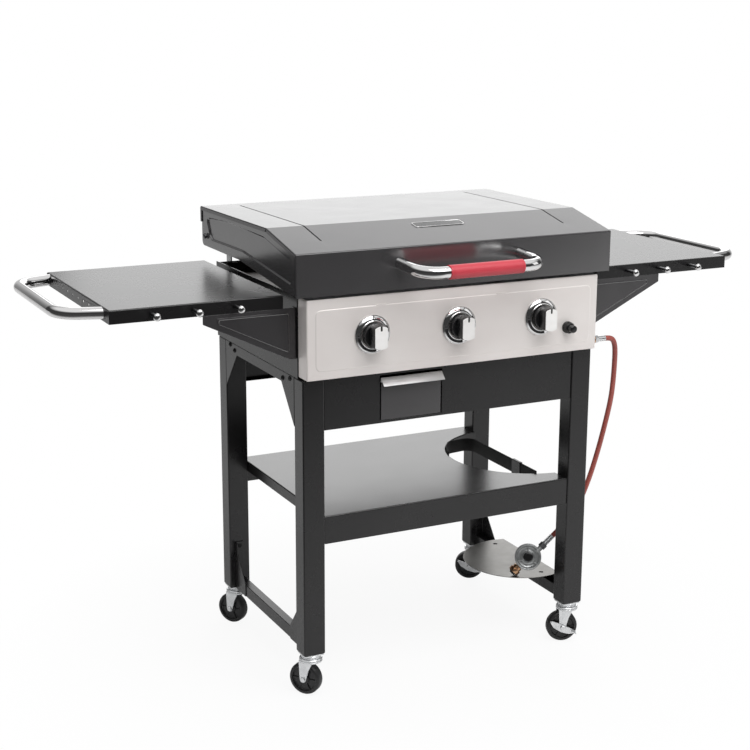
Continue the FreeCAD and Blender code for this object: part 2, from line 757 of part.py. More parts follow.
def path_pieces(points, radii):
    """Straight runs joined by tangent arcs: ('line', a, b) and ('arc', a, mid, b, centre)."""
    pieces = []
    last = points[0]
    for before, corner, after, radius in zip(points, points[1:], points[2:], radii):
        back = (before - corner).normalize()
        ahead = (after - corner).normalize()
        half = (math.pi - back.getAngle(ahead)) / 2
        reach = radius * math.tan(half)
        inward = (back + ahead).normalize()
        centre = corner + inward * (radius / math.cos(half))
        begin = corner + back * reach
        finish = corner + ahead * reach
        middle = centre - inward * radius
        if (begin - last).Length > 1e-6:
            pieces.append(("line", last, begin))
        pieces.append(("arc", begin, middle, finish, centre))
        last = finish
    pieces.append(("line", last, points[-1]))
    return pieces


def path_wire(pieces):
    edges = []
    for piece in pieces:
        if piece[0] == "line":
            edges.append(Part.LineSegment(piece[1], piece[2]).toShape())
        else:
            edges.append(Part.Arc(piece[1], piece[2], piece[3]).toShape())
    return Part.Wire(edges)


def tube(label, points, radii, radius):
    """Round bar along a path, as a feature of its own."""
    wire = path_wire(path_pieces(points, radii))
    start = points[0]
    direction = (points[1] - points[0]).normalize()
    ring = Part.Wire(Part.Circle(start, direction, radius).toShape())
    thing = doc.addObject("Part::Feature", label)
    thing.Shape = wire.makePipeShell([ring], True, False)
    section = math.pi * radius ** 2
    print(f"{label}: length {wire.Length:.1f}, volume {thing.Shape.Volume:.0f}, "
          f"section x length {section * wire.Length:.0f}, radii {[round(r, 1) for r in radii]}")
    return thing


# Webbing strap standing on edge inside the notch lip, round to a straight stretch and the front rim.
def ribbon(label, points, radii, thickness, low, high):
    pieces = path_pieces(points, radii)
    sides = []
    for offset in (thickness / 2, -thickness / 2):
        edges = []
        for piece in pieces:
            moved = []
            for spot in piece[1:4] if piece[0] == "arc" else piece[1:3]:
                if piece[0] == "arc":
                    outward = (spot - piece[4]).normalize()
                    lead = (piece[3] - piece[1]).normalize()
                    right = V(lead.y, -lead.x, 0)
                    away = (piece[2] - piece[4]).dot(right) > 0
                    moved.append(spot + outward * (offset if away else -offset))
                else:
                    lead = (piece[2] - piece[1]).normalize()
                    moved.append(spot + V(lead.y, -lead.x, 0) * offset)
            shape = Part.Arc(*moved) if piece[0] == "arc" else Part.LineSegment(*moved)
            edges.append(shape.toShape())
        sides.append(edges)
    first, second = sides
    caps = [Part.LineSegment(first[0].Vertexes[0].Point, second[0].Vertexes[0].Point).toShape(),
            Part.LineSegment(first[-1].Vertexes[-1].Point, second[-1].Vertexes[-1].Point).toShape()]
    face = Part.Face(Part.Wire(Part.__sortEdges__(first + second + caps)))
    thing = doc.addObject("Part::Feature", label)
    solid = face.extrude(V(0, 0, high - low))
    solid.translate(V(0, 0, low))
    thing.Shape = solid
    return thing


notch_centre = V(size("notch_x"), size("notch_y") + shift, 0)
strap_ring = size("notch_radius") - size("strap_gap") - size("strap_thickness") / 2
strap_start = 165
strap_leave = 140


def on_ring(angle, radius):
    turn = math.radians(angle)
    return notch_centre + V(math.cos(turn), math.sin(turn), 0) * radius


strap_line_x = size("strap_line_x")
half_turn = math.radians((strap_start - strap_leave) / 2)
# the strap leaves the lip along its tangent and turns inwards at once, so it stays inside the ring
leave_way = V(math.sin(math.radians(strap_leave)), -math.cos(math.radians(strap_leave)), 0)
strap_corner = on_ring(strap_leave, strap_ring) + leave_way * size("strap_ease")
strap_turn = V(strap_line_x, size("notch_y") + size("strap_turn") + shift, 0)
inward_turn = leave_way.getAngle(strap_turn - strap_corner)
front_reach = math.sqrt(size("notch_radius") ** 2 - (size("notch_x") - strap_line_x
                                                    + size("strap_thickness") / 2) ** 2)
strap_points = [on_ring(strap_start, strap_ring),
                on_ring((strap_start + strap_leave) / 2, strap_ring / math.cos(half_turn)),
                strap_corner,
                strap_turn,
                V(strap_line_x, size("notch_y") + shift - front_reach + size("strap_gap"), 0)]
node("bottle_strap", ribbon("strap_part", strap_points,
                            [strap_ring, size("strap_ease") / math.tan(inward_turn / 2), size("strap_bend")],
                            size("strap_thickness"), size("strap_low"), size("strap_high")))
BUCKLE_Y = ("buckle_y - buckle_length / 2", "buckle_y + buckle_length / 2")
buckle_outer = box("buckle_outer", ("strap_line_x - buckle_thickness / 2", "strap_line_x + buckle_thickness / 2"),
                   BUCKLE_Y, ("strap_low - buckle_rim", "strap_high + buckle_rim"))
buckle_inner = box("buckle_inner", ("strap_line_x - strap_thickness / 2", "strap_line_x + strap_thickness / 2"),
                   BUCKLE_Y, ("strap_low", "strap_high"))
node("strap_buckle", cut("buckle_part", buckle_outer, buckle_inner))

# Round tank plate with one straight edge.
PLATE_AT = ("plate_x", "plate_y", CHANNEL_TOP)
disc = cylinder("plate_disc", "z", "plate_radius", "plate_sheet", PLATE_AT)
plate_limit = box("plate_limit", ("plate_x - plate_radius - 1", "plate_edge_x"),
                  ("plate_y - plate_radius - 1", "plate_y + plate_radius + 1"),
                  (CHANNEL_TOP, f"{CHANNEL_TOP} + plate_sheet"))
plate_holes = [cylinder(f"plate_hole_{end}", "z", "plate_hole_radius", "plate_sheet",
                        ("plate_x", f"plate_y + {signed(fore, 'plate_hole_spread')}", CHANNEL_TOP))
               for end, fore in ENDS.items()]
node("tank_plate", cut("plate_part", common("plate_round", disc, plate_limit), *plate_holes))

# Firebox: open-topped box with side wings, rear ledge, griddle seats and a hole over the drawer.
FIRE_IN_X = "frame_half_x - firebox_sheet"
FIRE_IN_FRONT = "firebox_front + firebox_sheet"
FIRE_IN_REAR = "firebox_rear - firebox_sheet"
fire_x = ("-frame_half_x", "frame_half_x")
fire_outer = box("fire_outer", fire_x, ("firebox_front", "firebox_rear"), ("leg_top", "firebox_top"))
fire_inner = box("fire_inner", (f"-({FIRE_IN_X})", FIRE_IN_X), (FIRE_IN_FRONT, FIRE_IN_REAR),
                 ("leg_top + firebox_sheet", "firebox_top + 1"))
OUTLET_HOLE = "outlet_radius + outlet_wall + outlet_clearance"
fire_hole = box("fire_hole", (f"drawer_centre_x - ({OUTLET_HOLE})", f"drawer_centre_x + {OUTLET_HOLE}"),
                (f"outlet_y - ({OUTLET_HOLE})", f"outlet_y + {OUTLET_HOLE}"),
                ("leg_top - 1", "leg_top + firebox_sheet + 1"))
fire_parts = [cut("fire_shell", fire_outer, fire_inner, fire_hole)]
for side, sign in SIDES.items():
    fire_parts.append(box(f"fire_wing_{side}", span(sign, FIRE_IN_X, "frame_half_x"),
                          ("firebox_rear", "firebox_wing"), ("leg_top", "firebox_top")))
    fire_parts.append(box(f"griddle_seat_{side}", span(sign, f"{FIRE_IN_X} - seat_width", FIRE_IN_X),
                          ("-seat_length", "seat_length"),
                          ("griddle_under - tray_clearance - firebox_sheet", "griddle_under - tray_clearance")))
ledge_x = (f"-({FIRE_IN_X})", FIRE_IN_X)
fire_parts.append(box("fire_ledge", ledge_x, ("firebox_rear", "ledge_back"),
                      ("ledge_z - firebox_sheet", "ledge_z")))
fire_parts.append(box("fire_ledge_lip", ledge_x, ("ledge_back - firebox_sheet", "ledge_back"),
                      ("ledge_z - ledge_lip", "ledge_z")))
node("firebox", fuse("firebox_part", *fire_parts))

# Griddle plate: flat pan with raised rim, drain hole and spout over the drawer.
griddle_x = (f"-({FIRE_IN_X}) + griddle_side_gap", f"{FIRE_IN_X} - griddle_side_gap")
griddle_y = (f"{FIRE_IN_FRONT} + griddle_front_gap", f"{FIRE_IN_REAR} - griddle_rear_gap")
pan_outer = box("pan_outer", griddle_x, griddle_y, ("griddle_under", "griddle_rim_high"))
pan_inner = box("pan_inner", (f"{griddle_x[0]} + griddle_rim", f"{griddle_x[1]} - griddle_rim"),
                (f"{griddle_y[0]} + griddle_rim", f"{griddle_y[1]} - griddle_rim"),
                ("griddle_under + griddle_plate", "griddle_rim_high + 1"))
spout = cylinder("spout_outer", "z", "outlet_radius + outlet_wall", "griddle_under - outlet_low",
                 ("drawer_centre_x", "outlet_y", "outlet_low"))
drain = cylinder("drain", "z", "outlet_radius", "griddle_rim_high - outlet_low",
                 ("drawer_centre_x", "outlet_y", "outlet_low"))
node("griddle_plate", cut("griddle_part", fuse("pan", cut("pan_shell", pan_outer, pan_inner), spout), drain))

# Burner tubes from the front wall to the rear wall of the firebox.
KNOB_X = {"left": "-knob_pitch", "centre": "0", "right": "knob_pitch"}
burners = []
for name, x in KNOB_X.items():
    at = (x, FIRE_IN_FRONT, "burner_z")
    length = f"{FIRE_IN_REAR} - ({FIRE_IN_FRONT})"
    burners.append(cut(f"burner_{name}", cylinder(f"burner_outer_{name}", "y", "burner_radius", length, at),
                       cylinder(f"burner_inner_{name}", "y", "burner_radius - burner_wall", length, at)))
node("burners", group("burner_group", *burners))

# Gas manifold: one pipe, with three valve bodies saddled on it and their nozzles at the firebox wall.
pipe = cylinder("pipe", "x", "pipe_radius", "pipe_right - pipe_left", ("pipe_left", "pipe_y", "pipe_z"))
valves = []
for name, x in KNOB_X.items():
    block = box(f"valve_block_{name}", (f"{x} - valve_width / 2", f"{x} + valve_width / 2"),
                ("-valve_front", "-valve_back"), ("pipe_z", "valve_high"))
    saddle = cylinder(f"valve_saddle_{name}", "x", "pipe_radius", "valve_width",
                      (f"{x} - valve_width / 2", "pipe_y", "pipe_z"))
    bore = cylinder(f"valve_bore_{name}", "y", "stem_radius + running_gap", "valve_front - valve_bore_back",
                    (x, "-valve_front", "knob_z"))
    nozzle = cylinder(f"valve_nozzle_{name}", "y", "nozzle_radius", "firebox_front + valve_back",
                      (x, "-valve_back", "knob_z"))
    valves.append(fuse(f"valve_{name}", cut(f"valve_body_{name}", block, saddle, bore), nozzle))
node("gas_manifold", group("manifold_group", pipe, *valves))

# Inlet fitting on the end of the manifold: hexagon and hose ferrule.
hexagon = [("hex_half * 2 / sqrt(3)", "0"), ("hex_half / sqrt(3)", "hex_half"),
           ("-hex_half / sqrt(3)", "hex_half"), ("-hex_half * 2 / sqrt(3)", "0"),
           ("-hex_half / sqrt(3)", "-hex_half"), ("hex_half / sqrt(3)", "-hex_half")]
inlet_hex = profile("inlet_hex", "YZ_Plane", hexagon, "hex_length", ("pipe_right", "pipe_y", "pipe_z"))
inlet_ferrule = cylinder("inlet_ferrule", "x", "ferrule_radius", "ferrule_length",
                         ("pipe_right + hex_length", "pipe_y", "pipe_z"))
node("gas_inlet_fitting", fuse("inlet_part", inlet_hex, inlet_ferrule))

# Control panel: shallow box open at the back, with a raised field and holes for stems and igniter.
PANEL_Y = "-panel_front"
BORDER_Y = "-panel_front - border_raise"
panel_outer = box("panel_outer", ("-panel_half", "panel_half"), (PANEL_Y, "firebox_front"),
                  ("panel_low", "panel_high"))
panel_inner = box("panel_inner", ("-panel_half + panel_sheet", "panel_half - panel_sheet"),
                  (f"{PANEL_Y} + panel_sheet", "firebox_front"),
                  ("panel_low + panel_sheet", "panel_high - panel_sheet"))
border_body = doc.addObject("PartDesign::Body", "border_body")
border_block = border_body.newObject("PartDesign::AdditiveBox", "border_block")
border_block.setExpression("Length", ex("border_left + border_right"))
border_block.setExpression("Width", ex("border_raise + panel_sheet / 2"))
border_block.setExpression("Height", ex("border_high - border_low"))
doc.recompute()
upright = [f"Edge{i}" for i, edge in enumerate(border_block.Shape.Edges, 1)
           if abs(edge.tangentAt(edge.FirstParameter).y) > 0.9]
border_fillet = border_body.newObject("PartDesign::Fillet", "border_fillet")
border_fillet.Base = (border_block, upright)
border_fillet.setExpression("Radius", ex("border_corner"))
place(border_body, "-border_left", BORDER_Y, "border_low")
panel_holes = [cylinder(f"stem_hole_{name}", "y", "stem_radius + 2", "border_raise + panel_sheet * 2",
                        (x, f"{BORDER_Y}", "knob_z")) for name, x in KNOB_X.items()]
panel_holes.append(cylinder("igniter_hole", "y", "barrel_radius", "border_raise + panel_sheet * 2",
                            ("igniter_x", BORDER_Y, "igniter_z")))
panel_holes.append(cylinder("pipe_hole", "x", "pipe_radius + panel_pipe_gap", "panel_sheet * 3",
                            ("panel_half - panel_sheet * 2", "pipe_y", "pipe_z")))
node("control_panel", cut("panel_part", fuse("panel_skin", cut("panel_shell", panel_outer, panel_inner),
                                             border_body), *panel_holes))

# Chrome bezels round the knobs.
bezels = []
for name, x in KNOB_X.items():
    base = cylinder(f"bezel_base_{name}", "y", "bezel_radius", "bezel_base",
                    (x, f"{BORDER_Y} - bezel_base", "knob_z"))
    slope = cone(f"bezel_slope_{name}", "y", "bezel_crown", "bezel_radius", "bezel_slope",
                 (x, f"{BORDER_Y} - bezel_base - bezel_slope", "knob_z"))
    hole = cylinder(f"bezel_hole_{name}", "y", "knob_radius + knob_ring_gap", "bezel_base + bezel_slope",
                    (x, f"{BORDER_Y} - bezel_base - bezel_slope", "knob_z"))
    bezels.append(cut(f"bezel_{name}", fuse(f"bezel_ring_{name}", base, slope), hole))
node("knob_bezels", group("bezel_group", *bezels))

# Knobs on sprung valve stems: round body, raised grip bar and a blind bore on the stem.
KNOB_BACK = f"{BORDER_Y} - knob_back_gap"
KNOB_FACE = f"{KNOB_BACK} - knob_body"
for name, x in KNOB_X.items():
    disc = cylinder(f"knob_disc_{name}", "y", "knob_radius", "knob_body", (x, KNOB_FACE, "knob_z"))
    fin_round = cylinder(f"knob_fin_round_{name}", "y", "knob_radius", "knob_fin",
                         (x, f"{KNOB_FACE} - knob_fin", "knob_z"))
    fin_bar = box(f"knob_fin_bar_{name}", (f"{x} - knob_fin_width / 2", f"{x} + knob_fin_width / 2"),
                  (f"{KNOB_FACE} - knob_fin", KNOB_FACE), ("knob_z - knob_radius", "knob_z + knob_radius"))
    socket = cylinder(f"knob_bore_{name}", "y", "stem_radius + running_gap", "knob_bore_depth",
                      (x, f"{KNOB_BACK} - knob_bore_depth", "knob_z"))
    node(f"knob_{name}", cut(f"knob_part_{name}", fuse(f"knob_solid_{name}", disc,
                             common(f"knob_fin_{name}", fin_round, fin_bar)), socket))
    node(f"valve_stem_{name}", cylinder(f"stem_part_{name}", "y", "stem_radius",
                                        f"-({KNOB_BACK}) + knob_bore_depth - tray_clearance - stem_inner",
                                        (x, f"{KNOB_BACK} - knob_bore_depth + tray_clearance", "knob_z")))

# Igniter: collar and barrel through the panel, with a sprung push button.
COLLAR_Y = f"{BORDER_Y} - collar_height"
collar = cylinder("igniter_collar", "y", "collar_radius", "collar_height", ("igniter_x", COLLAR_Y, "igniter_z"))
barrel = cylinder("igniter_barrel", "y", "barrel_radius", "barrel_depth", ("igniter_x", BORDER_Y, "igniter_z"))
button_bore = cylinder("igniter_bore", "y", "button_radius + running_gap",
                       "collar_height + barrel_depth - barrel_floor", ("igniter_x", COLLAR_Y, "igniter_z"))
node("igniter_housing", cut("igniter_part", fuse("igniter_body", collar, barrel), button_bore))
node("igniter_button", cylinder("button_part", "y", "button_radius", "button_reach + button_inner",
                                ("igniter_x", f"{BORDER_Y} - button_reach", "igniter_z")))

# Lid shell: one folded sheet, its edges folded down over the end caps, with a notch at the ridge.
FRONT_Y = "-lid_front"
shell_points = [("lid_rear", "lid_rear_z - lid_flange"), ("lid_rear", "lid_rear_z"), ("ridge_y", "ridge_z"),
                (FRONT_Y, "lid_front_z"), (FRONT_Y, "lid_front_low"),
                (f"{FRONT_Y} + lid_sheet", "lid_front_low"), (f"{FRONT_Y} + lid_sheet", "lid_front_z - lid_sheet"),
                ("ridge_y", "ridge_z - lid_sheet"), ("lid_rear - lid_sheet", "lid_rear_z - lid_sheet"),
                ("lid_rear - lid_sheet", "lid_rear_z - lid_flange")]
strip_points = [("cap_rear", "lid_rear_z - strip_depth"), ("cap_rear", "lid_rear_z - lid_sheet / 2"),
                ("ridge_y", "ridge_z - lid_sheet / 2"), (f"{FRONT_Y} + lid_sheet / 2", "lid_front_z - lid_sheet / 2"),
                (f"{FRONT_Y} + lid_sheet / 2", "lid_front_low"),
                (f"{FRONT_Y} + strip_depth", "lid_front_low"),
                (f"{FRONT_Y} + strip_depth", "lid_front_z - strip_depth"), ("ridge_y", "ridge_z - strip_depth")]
shell_parts = [profile("shell_sheet", "YZ_Plane", shell_points, "lid_half * 2", ("-lid_half", 0, 0))]
for side, sign in SIDES.items():
    skin = span(sign, "lid_half - lid_sheet", "lid_half")
    shell_parts.append(profile(f"shell_strip_{side}", "YZ_Plane", strip_points, "lid_sheet", (skin[0], 0, 0)))
node("lid_shell", fuse("shell_part", *shell_parts))

# End caps inside the folded strip, with a raised field and the hinge hole.
CAP_OUT = "lid_half - lid_sheet"
CAP_IN = f"{CAP_OUT} - cap_sheet"
cap_points = [("cap_rear", "cap_rear_low + cap_corner"), ("cap_rear", "lid_rear_z - lid_sheet"),
              ("ridge_y", "ridge_z - lid_sheet"), (f"{FRONT_Y} + lid_sheet", "lid_front_z - lid_sheet"),
              (f"{FRONT_Y} + lid_sheet", "cap_front_low"), ("cap_knee_y", "cap_rear_low"),
              ("cap_rear - cap_corner", "cap_rear_low"),
              ("cap_rear - cap_corner * 0.3", "cap_rear_low + cap_corner * 0.3")]
# The field's corners keep their distances from the ridge, the rear edge and the front edge.
CAP_HEIGHT = "(lid_rear_z - cap_rear_low)"
field_points = [("cap_rear - 30", "lid_rear_z - 21"), ("ridge_y + 221", "ridge_z - 16"),
                ("ridge_y + 19", "ridge_z - 20"), (f"{FRONT_Y} + 34", "lid_front_z - 15.5"),
                (f"{FRONT_Y} + 28", "cap_front_low + 22.5"), ("cap_knee_y - 22", "cap_rear_low + 20"),
                ("cap_rear - 58", "cap_rear_low + 19"), ("cap_rear - 48", "cap_rear_low + 24"),
                ("cap_rear - 42", f"cap_rear_low + {CAP_HEIGHT} * 0.43"),
                ("cap_rear - 33", f"cap_rear_low + {CAP_HEIGHT} * 0.6")]
caps = []
for side, sign in SIDES.items():
    plate_x = span(sign, CAP_IN, CAP_OUT)
    field_x = span(sign, CAP_OUT, f"{CAP_OUT} + emboss_raise")
    plate = profile(f"cap_plate_{side}", "YZ_Plane", cap_points, "cap_sheet", (plate_x[0], 0, 0))
    field = profile(f"cap_field_{side}", "YZ_Plane", field_points, "emboss_raise", (field_x[0], 0, 0))
    hole = cylinder(f"cap_hole_{side}", "x", "hinge_rod_radius + running_gap", "cap_sheet",
                    (plate_x[0], "hinge_y", "hinge_z"))
    caps.append(fuse(f"cap_{side}", cut(f"cap_drilled_{side}", plate, hole), field))
node("lid_end_caps", group("cap_group", *caps))

# Hinge: rod through both caps and through two light brackets on the rear ledge.
hinge_brackets = []
for side, sign in SIDES.items():
    plate_x = span(sign, "hinge_plate_x - hinge_plate_sheet / 2", "hinge_plate_x + hinge_plate_sheet / 2")
    foot_x = span(sign, "hinge_plate_x - hinge_foot", "hinge_plate_x + hinge_plate_sheet / 2")
    plate_y = ("hinge_y - hinge_plate_radius", "hinge_y + hinge_plate_radius")
    # the ledge is behind the firebox wall, so the foot starts at the wall
    foot_y = ("firebox_rear", "hinge_y + hinge_plate_radius - 1")
    plate = box(f"hinge_plate_{side}", plate_x, plate_y, ("ledge_z", "hinge_z"))
    head = cylinder(f"hinge_head_{side}", "x", "hinge_plate_radius", "hinge_plate_sheet",
                    (plate_x[0], "hinge_y", "hinge_z"))
    foot = box(f"hinge_foot_{side}", foot_x, foot_y, ("ledge_z", "ledge_z + hinge_plate_sheet"))
    hole = cylinder(f"hinge_hole_{side}", "x", "hinge_rod_radius", "hinge_plate_sheet",
                    (plate_x[0], "hinge_y", "hinge_z"))
    hinge_brackets.append(cut(f"hinge_bracket_{side}", fuse(f"hinge_solid_{side}", plate, head, foot), hole))
node("hinge_brackets", group("hinge_group", *hinge_brackets))
ROD_END = "lid_half + tray_clearance"
rod = cylinder("rod", "x", "hinge_rod_radius", f"2 * ({ROD_END})", (f"-({ROD_END})", "hinge_y", "hinge_z"))
rod_nuts = []
for side, sign in SIDES.items():
    nut_x = span(sign, ROD_END, f"{ROD_END} + hinge_nut_length")
    wide, narrow = "hinge_nut_radius", "hinge_nut_radius * 0.6"
    rod_nuts.append(cone(f"rod_nut_{side}", "x", narrow if sign < 0 else wide, wide if sign < 0 else narrow,
                         "hinge_nut_length", (nut_x[0], "hinge_y", "hinge_z")))
node("hinge_rod", fuse("rod_part", rod, *rod_nuts))

# Bare badge plate on the front slope of the lid.
SLOPE = "atan((ridge_z - lid_front_z) / (lid_front + ridge_y))"
slope_angle = math.atan2(size("ridge_z") - size("lid_front_z"), size("lid_front") + size("ridge_y"))
badge = doc.addObject("Part::Box", "badge_part")
badge.setExpression("Length", ex("badge_length"))
badge.setExpression("Width", ex("badge_width"))
badge.setExpression("Height", ex("badge_sheet"))
badge.Placement = FreeCAD.Placement(V(), FreeCAD.Rotation(V(1, 0, 0), math.degrees(slope_angle)))
place(badge, "badge_x - badge_length / 2",
      f"ridge_y - (badge_down + badge_width) * cos({SLOPE})",
      f"ridge_z - (badge_down + badge_width) * sin({SLOPE})")
node("lid_badge", badge)

# Lid handle: bent tube, with a grip sleeve on its straight middle.
handle_root = V(size("handle_root_x"), -size("lid_front") + shift, size("handle_root_z"))
handle_corner = V(size("handle_root_x") - size("handle_lean"),
                  -size("lid_front") - size("handle_reach") + shift,
                  size("handle_root_z") + size("handle_rise"))
handle_points = [V(-handle_root.x, handle_root.y, handle_root.z),
                 V(-handle_corner.x, handle_corner.y, handle_corner.z), handle_corner, handle_root]
handle_raw = tube("handle_raw", handle_points, [size("handle_bend")] * 2, size("handle_radius"))
# the sloping roots are cut off at the lid face
root_cut = box("handle_root_cut", ("-lid_half", "lid_half"), ("-lid_front", "0"), ("leg_top", "ridge_z"))
handle_core = tube("handle_core", handle_points, [size("handle_bend")] * 2,
                   size("handle_radius") - size("handle_wall"))
node("lid_handle", cut("handle_part", handle_raw, root_cut, handle_core))
GRIP_Y = "-lid_front - handle_reach"
GRIP_Z = "handle_root_z + handle_rise"
grip_at = ("-grip_half", GRIP_Y, GRIP_Z)
node("lid_grip", cut("grip_part", cylinder("grip_outer", "x", "grip_radius", "grip_half * 2", grip_at),
                     cylinder("grip_inner", "x", "handle_radius", "grip_half * 2", grip_at)))

# Side shelves: shallow trays turned over, with a row of holes in the outer skirt.
for side, sign in SIDES.items():
    outer = box(f"wing_outer_{side}", span(sign, "wing_inner", "wing_outer"), ("wing_front", "wing_back"),
                ("wing_top - wing_skirt", "wing_top"))
    inner = box(f"wing_inner_{side}", span(sign, "wing_inner + wing_sheet", "wing_outer - wing_sheet"),
                ("wing_front + wing_sheet", "wing_back - wing_sheet"),
                ("wing_top - wing_skirt", "wing_top - wing_sheet"))
    skin = span(sign, "wing_outer - wing_sheet", "wing_outer")
    holes = [cylinder(f"wing_hole_{side}_{i}", "x", "wing_hole_radius", "wing_sheet",
                      (skin[0], f"wing_hole_first + wing_hole_pitch * {i}", "wing_hole_z")) for i in range(6)]
    node(f"side_shelf_{side}", cut(f"wing_{side}", outer, inner, *holes))

# Shelf brackets: webs under the front and rear skirts, from the firebox wall outwards.
WEB_TOP = "wing_top - wing_skirt"
webs = []
for side, sign in SIDES.items():
    for end, fore in ENDS.items():
        points = [(signed(sign, "frame_half_x"), WEB_TOP), (signed(sign, "web_outer"), WEB_TOP),
                  (signed(sign, "web_outer"), "web_outer_low"), (signed(sign, "web_inner"), "web_inner_low"),
                  (signed(sign, "web_corner_x"), "web_low"), (signed(sign, "frame_half_x"), "web_low")]
        field = [(signed(sign, "frame_half_x + 14"), f"{WEB_TOP} - web_border"),
                 (signed(sign, "web_outer - 30"), f"{WEB_TOP} - web_border"),
                 (signed(sign, "web_outer - 30"), "web_outer_low - 3"),
                 (signed(sign, "frame_half_x + 14"), "web_inner_low + 4")]
        edge = "wing_front" if fore < 0 else "wing_back"
        web_y = (edge, f"{edge} + web_sheet") if fore < 0 else (f"{edge} - web_sheet", edge)
        raise_y = f"{edge} - web_raise" if fore < 0 else edge
        tab_y = ((f"{edge} + wing_sheet", f"{edge} + wing_sheet + web_sheet") if fore < 0
                 else (f"{edge} - wing_sheet - web_sheet", f"{edge} - wing_sheet"))
        flange_y = ((edge, f"{edge} + web_flange") if fore < 0 else (f"{edge} - web_flange", edge))
        key = f"{side}_{end}"
        plate = profile(f"web_plate_{key}", "XZ_Plane", points, "web_sheet", (0, web_y[0], 0))
        raised = profile(f"web_field_{key}", "XZ_Plane", field, "web_raise", (0, raise_y, 0))
        tab = box(f"web_tab_{key}", span(sign, "tab_start", "tab_end"), tab_y,
                  (f"{WEB_TOP} - tab_overlap", "wing_top - wing_sheet"))
        flange = box(f"web_flange_{key}", span(sign, "frame_half_x", "frame_half_x + web_sheet"), flange_y,
                     ("web_low", WEB_TOP))
        webs.append(fuse(f"web_{key}", plate, raised, tab, flange))
node("shelf_brackets", group("web_group", *webs))

# End handles on the outer skirts.
end_handles = []
for side, sign in SIDES.items():
    wall = size("wing_outer")
    far = wall + size("end_handle_reach")
    lean = size("end_handle_lean")
    z = size("end_handle_z")
    front, back = size("end_handle_front") + shift, size("end_handle_back") + shift
    points = [V(sign * wall, front, z), V(sign * far, front + lean, z),
              V(sign * far, back - lean, z), V(sign * wall, back, z)]
    raw = tube(f"end_handle_raw_{side}", points, [size("end_handle_bend")] * 2, size("end_handle_radius"))
    trim = box(f"end_handle_trim_{side}", span(sign, "wing_inner", "wing_outer"), ("wing_front", "wing_back"),
               ("panel_low", "ridge_z"))
    core = tube(f"end_handle_core_{side}", points, [size("end_handle_bend")] * 2,
                size("end_handle_radius") - size("handle_wall"))
    end_handles.append(cut(f"end_handle_{side}", raw, trim, core))
node("end_handles", group("end_handle_group", *end_handles))

# Mushroom tool hooks along the front skirts.
hooks = []
for side, sign in SIDES.items():
    for i in range(3):
        x = signed(sign, f"hook_first_{side} + hook_pitch * {i}")
        key = f"{side}_{i}"
        stem = cylinder(f"hook_stem_{key}", "y", "hook_stem_radius", "hook_stem",
                        (x, "wing_front - hook_stem", "hook_z"))
        flare = cone(f"hook_flare_{key}", "y", "hook_head_radius", "hook_stem_radius", "hook_flare",
                     (x, "wing_front - hook_stem", "hook_z"))
        head = cylinder(f"hook_head_{key}", "y", "hook_head_radius", "hook_head",
                        (x, "wing_front - hook_stem - hook_head", "hook_z"))
        hooks.append(fuse(f"hook_{key}", stem, flare, head))
node("tool_hooks", group("hook_group", *hooks))

# Bolts in the rails, gussets and lower brackets.
rail_bolts = [("gusset_rear_high", f"{LEG_IN_Y} - 29", "leg_top - 6"),
              ("gusset_rear_low", f"{LEG_IN_Y} - 55", "leg_top - 15"),
              ("gusset_front_high", f"-({LEG_IN_Y}) + 21", "leg_top - 8"),
              ("gusset_front_low", f"-({LEG_IN_Y}) + 58.5", "leg_top - 15")]
bolts = []
for side, sign in SIDES.items():
    for name, y, z in rail_bolts:
        x = span(sign, "frame_half_x", "frame_half_x + bolt_height")
        radii = ("bolt_radius", "bolt_crown") if sign > 0 else ("bolt_crown", "bolt_radius")
        bolts.append(cone(f"bolt_{name}_{side}", "x", radii[0], radii[1], "bolt_height", (x[0], y, z)))
    for end, fore in ENDS.items():
        y = span(fore, f"{LEG_IN_Y} - bracket_sheet - bolt_height", f"{LEG_IN_Y} - bracket_sheet")
        radii = ("bolt_crown", "bolt_radius") if fore > 0 else ("bolt_radius", "bolt_crown")
        bolts.append(cone(f"bolt_low_{end}_{side}", "y", radii[0], radii[1], "bolt_height",
                          (signed(sign, LEG_MID_X), y[0], "leg_foot + bracket_tab_height - bolt_radius * 2")))
node("frame_bolts", group("bolt_group", *bolts))

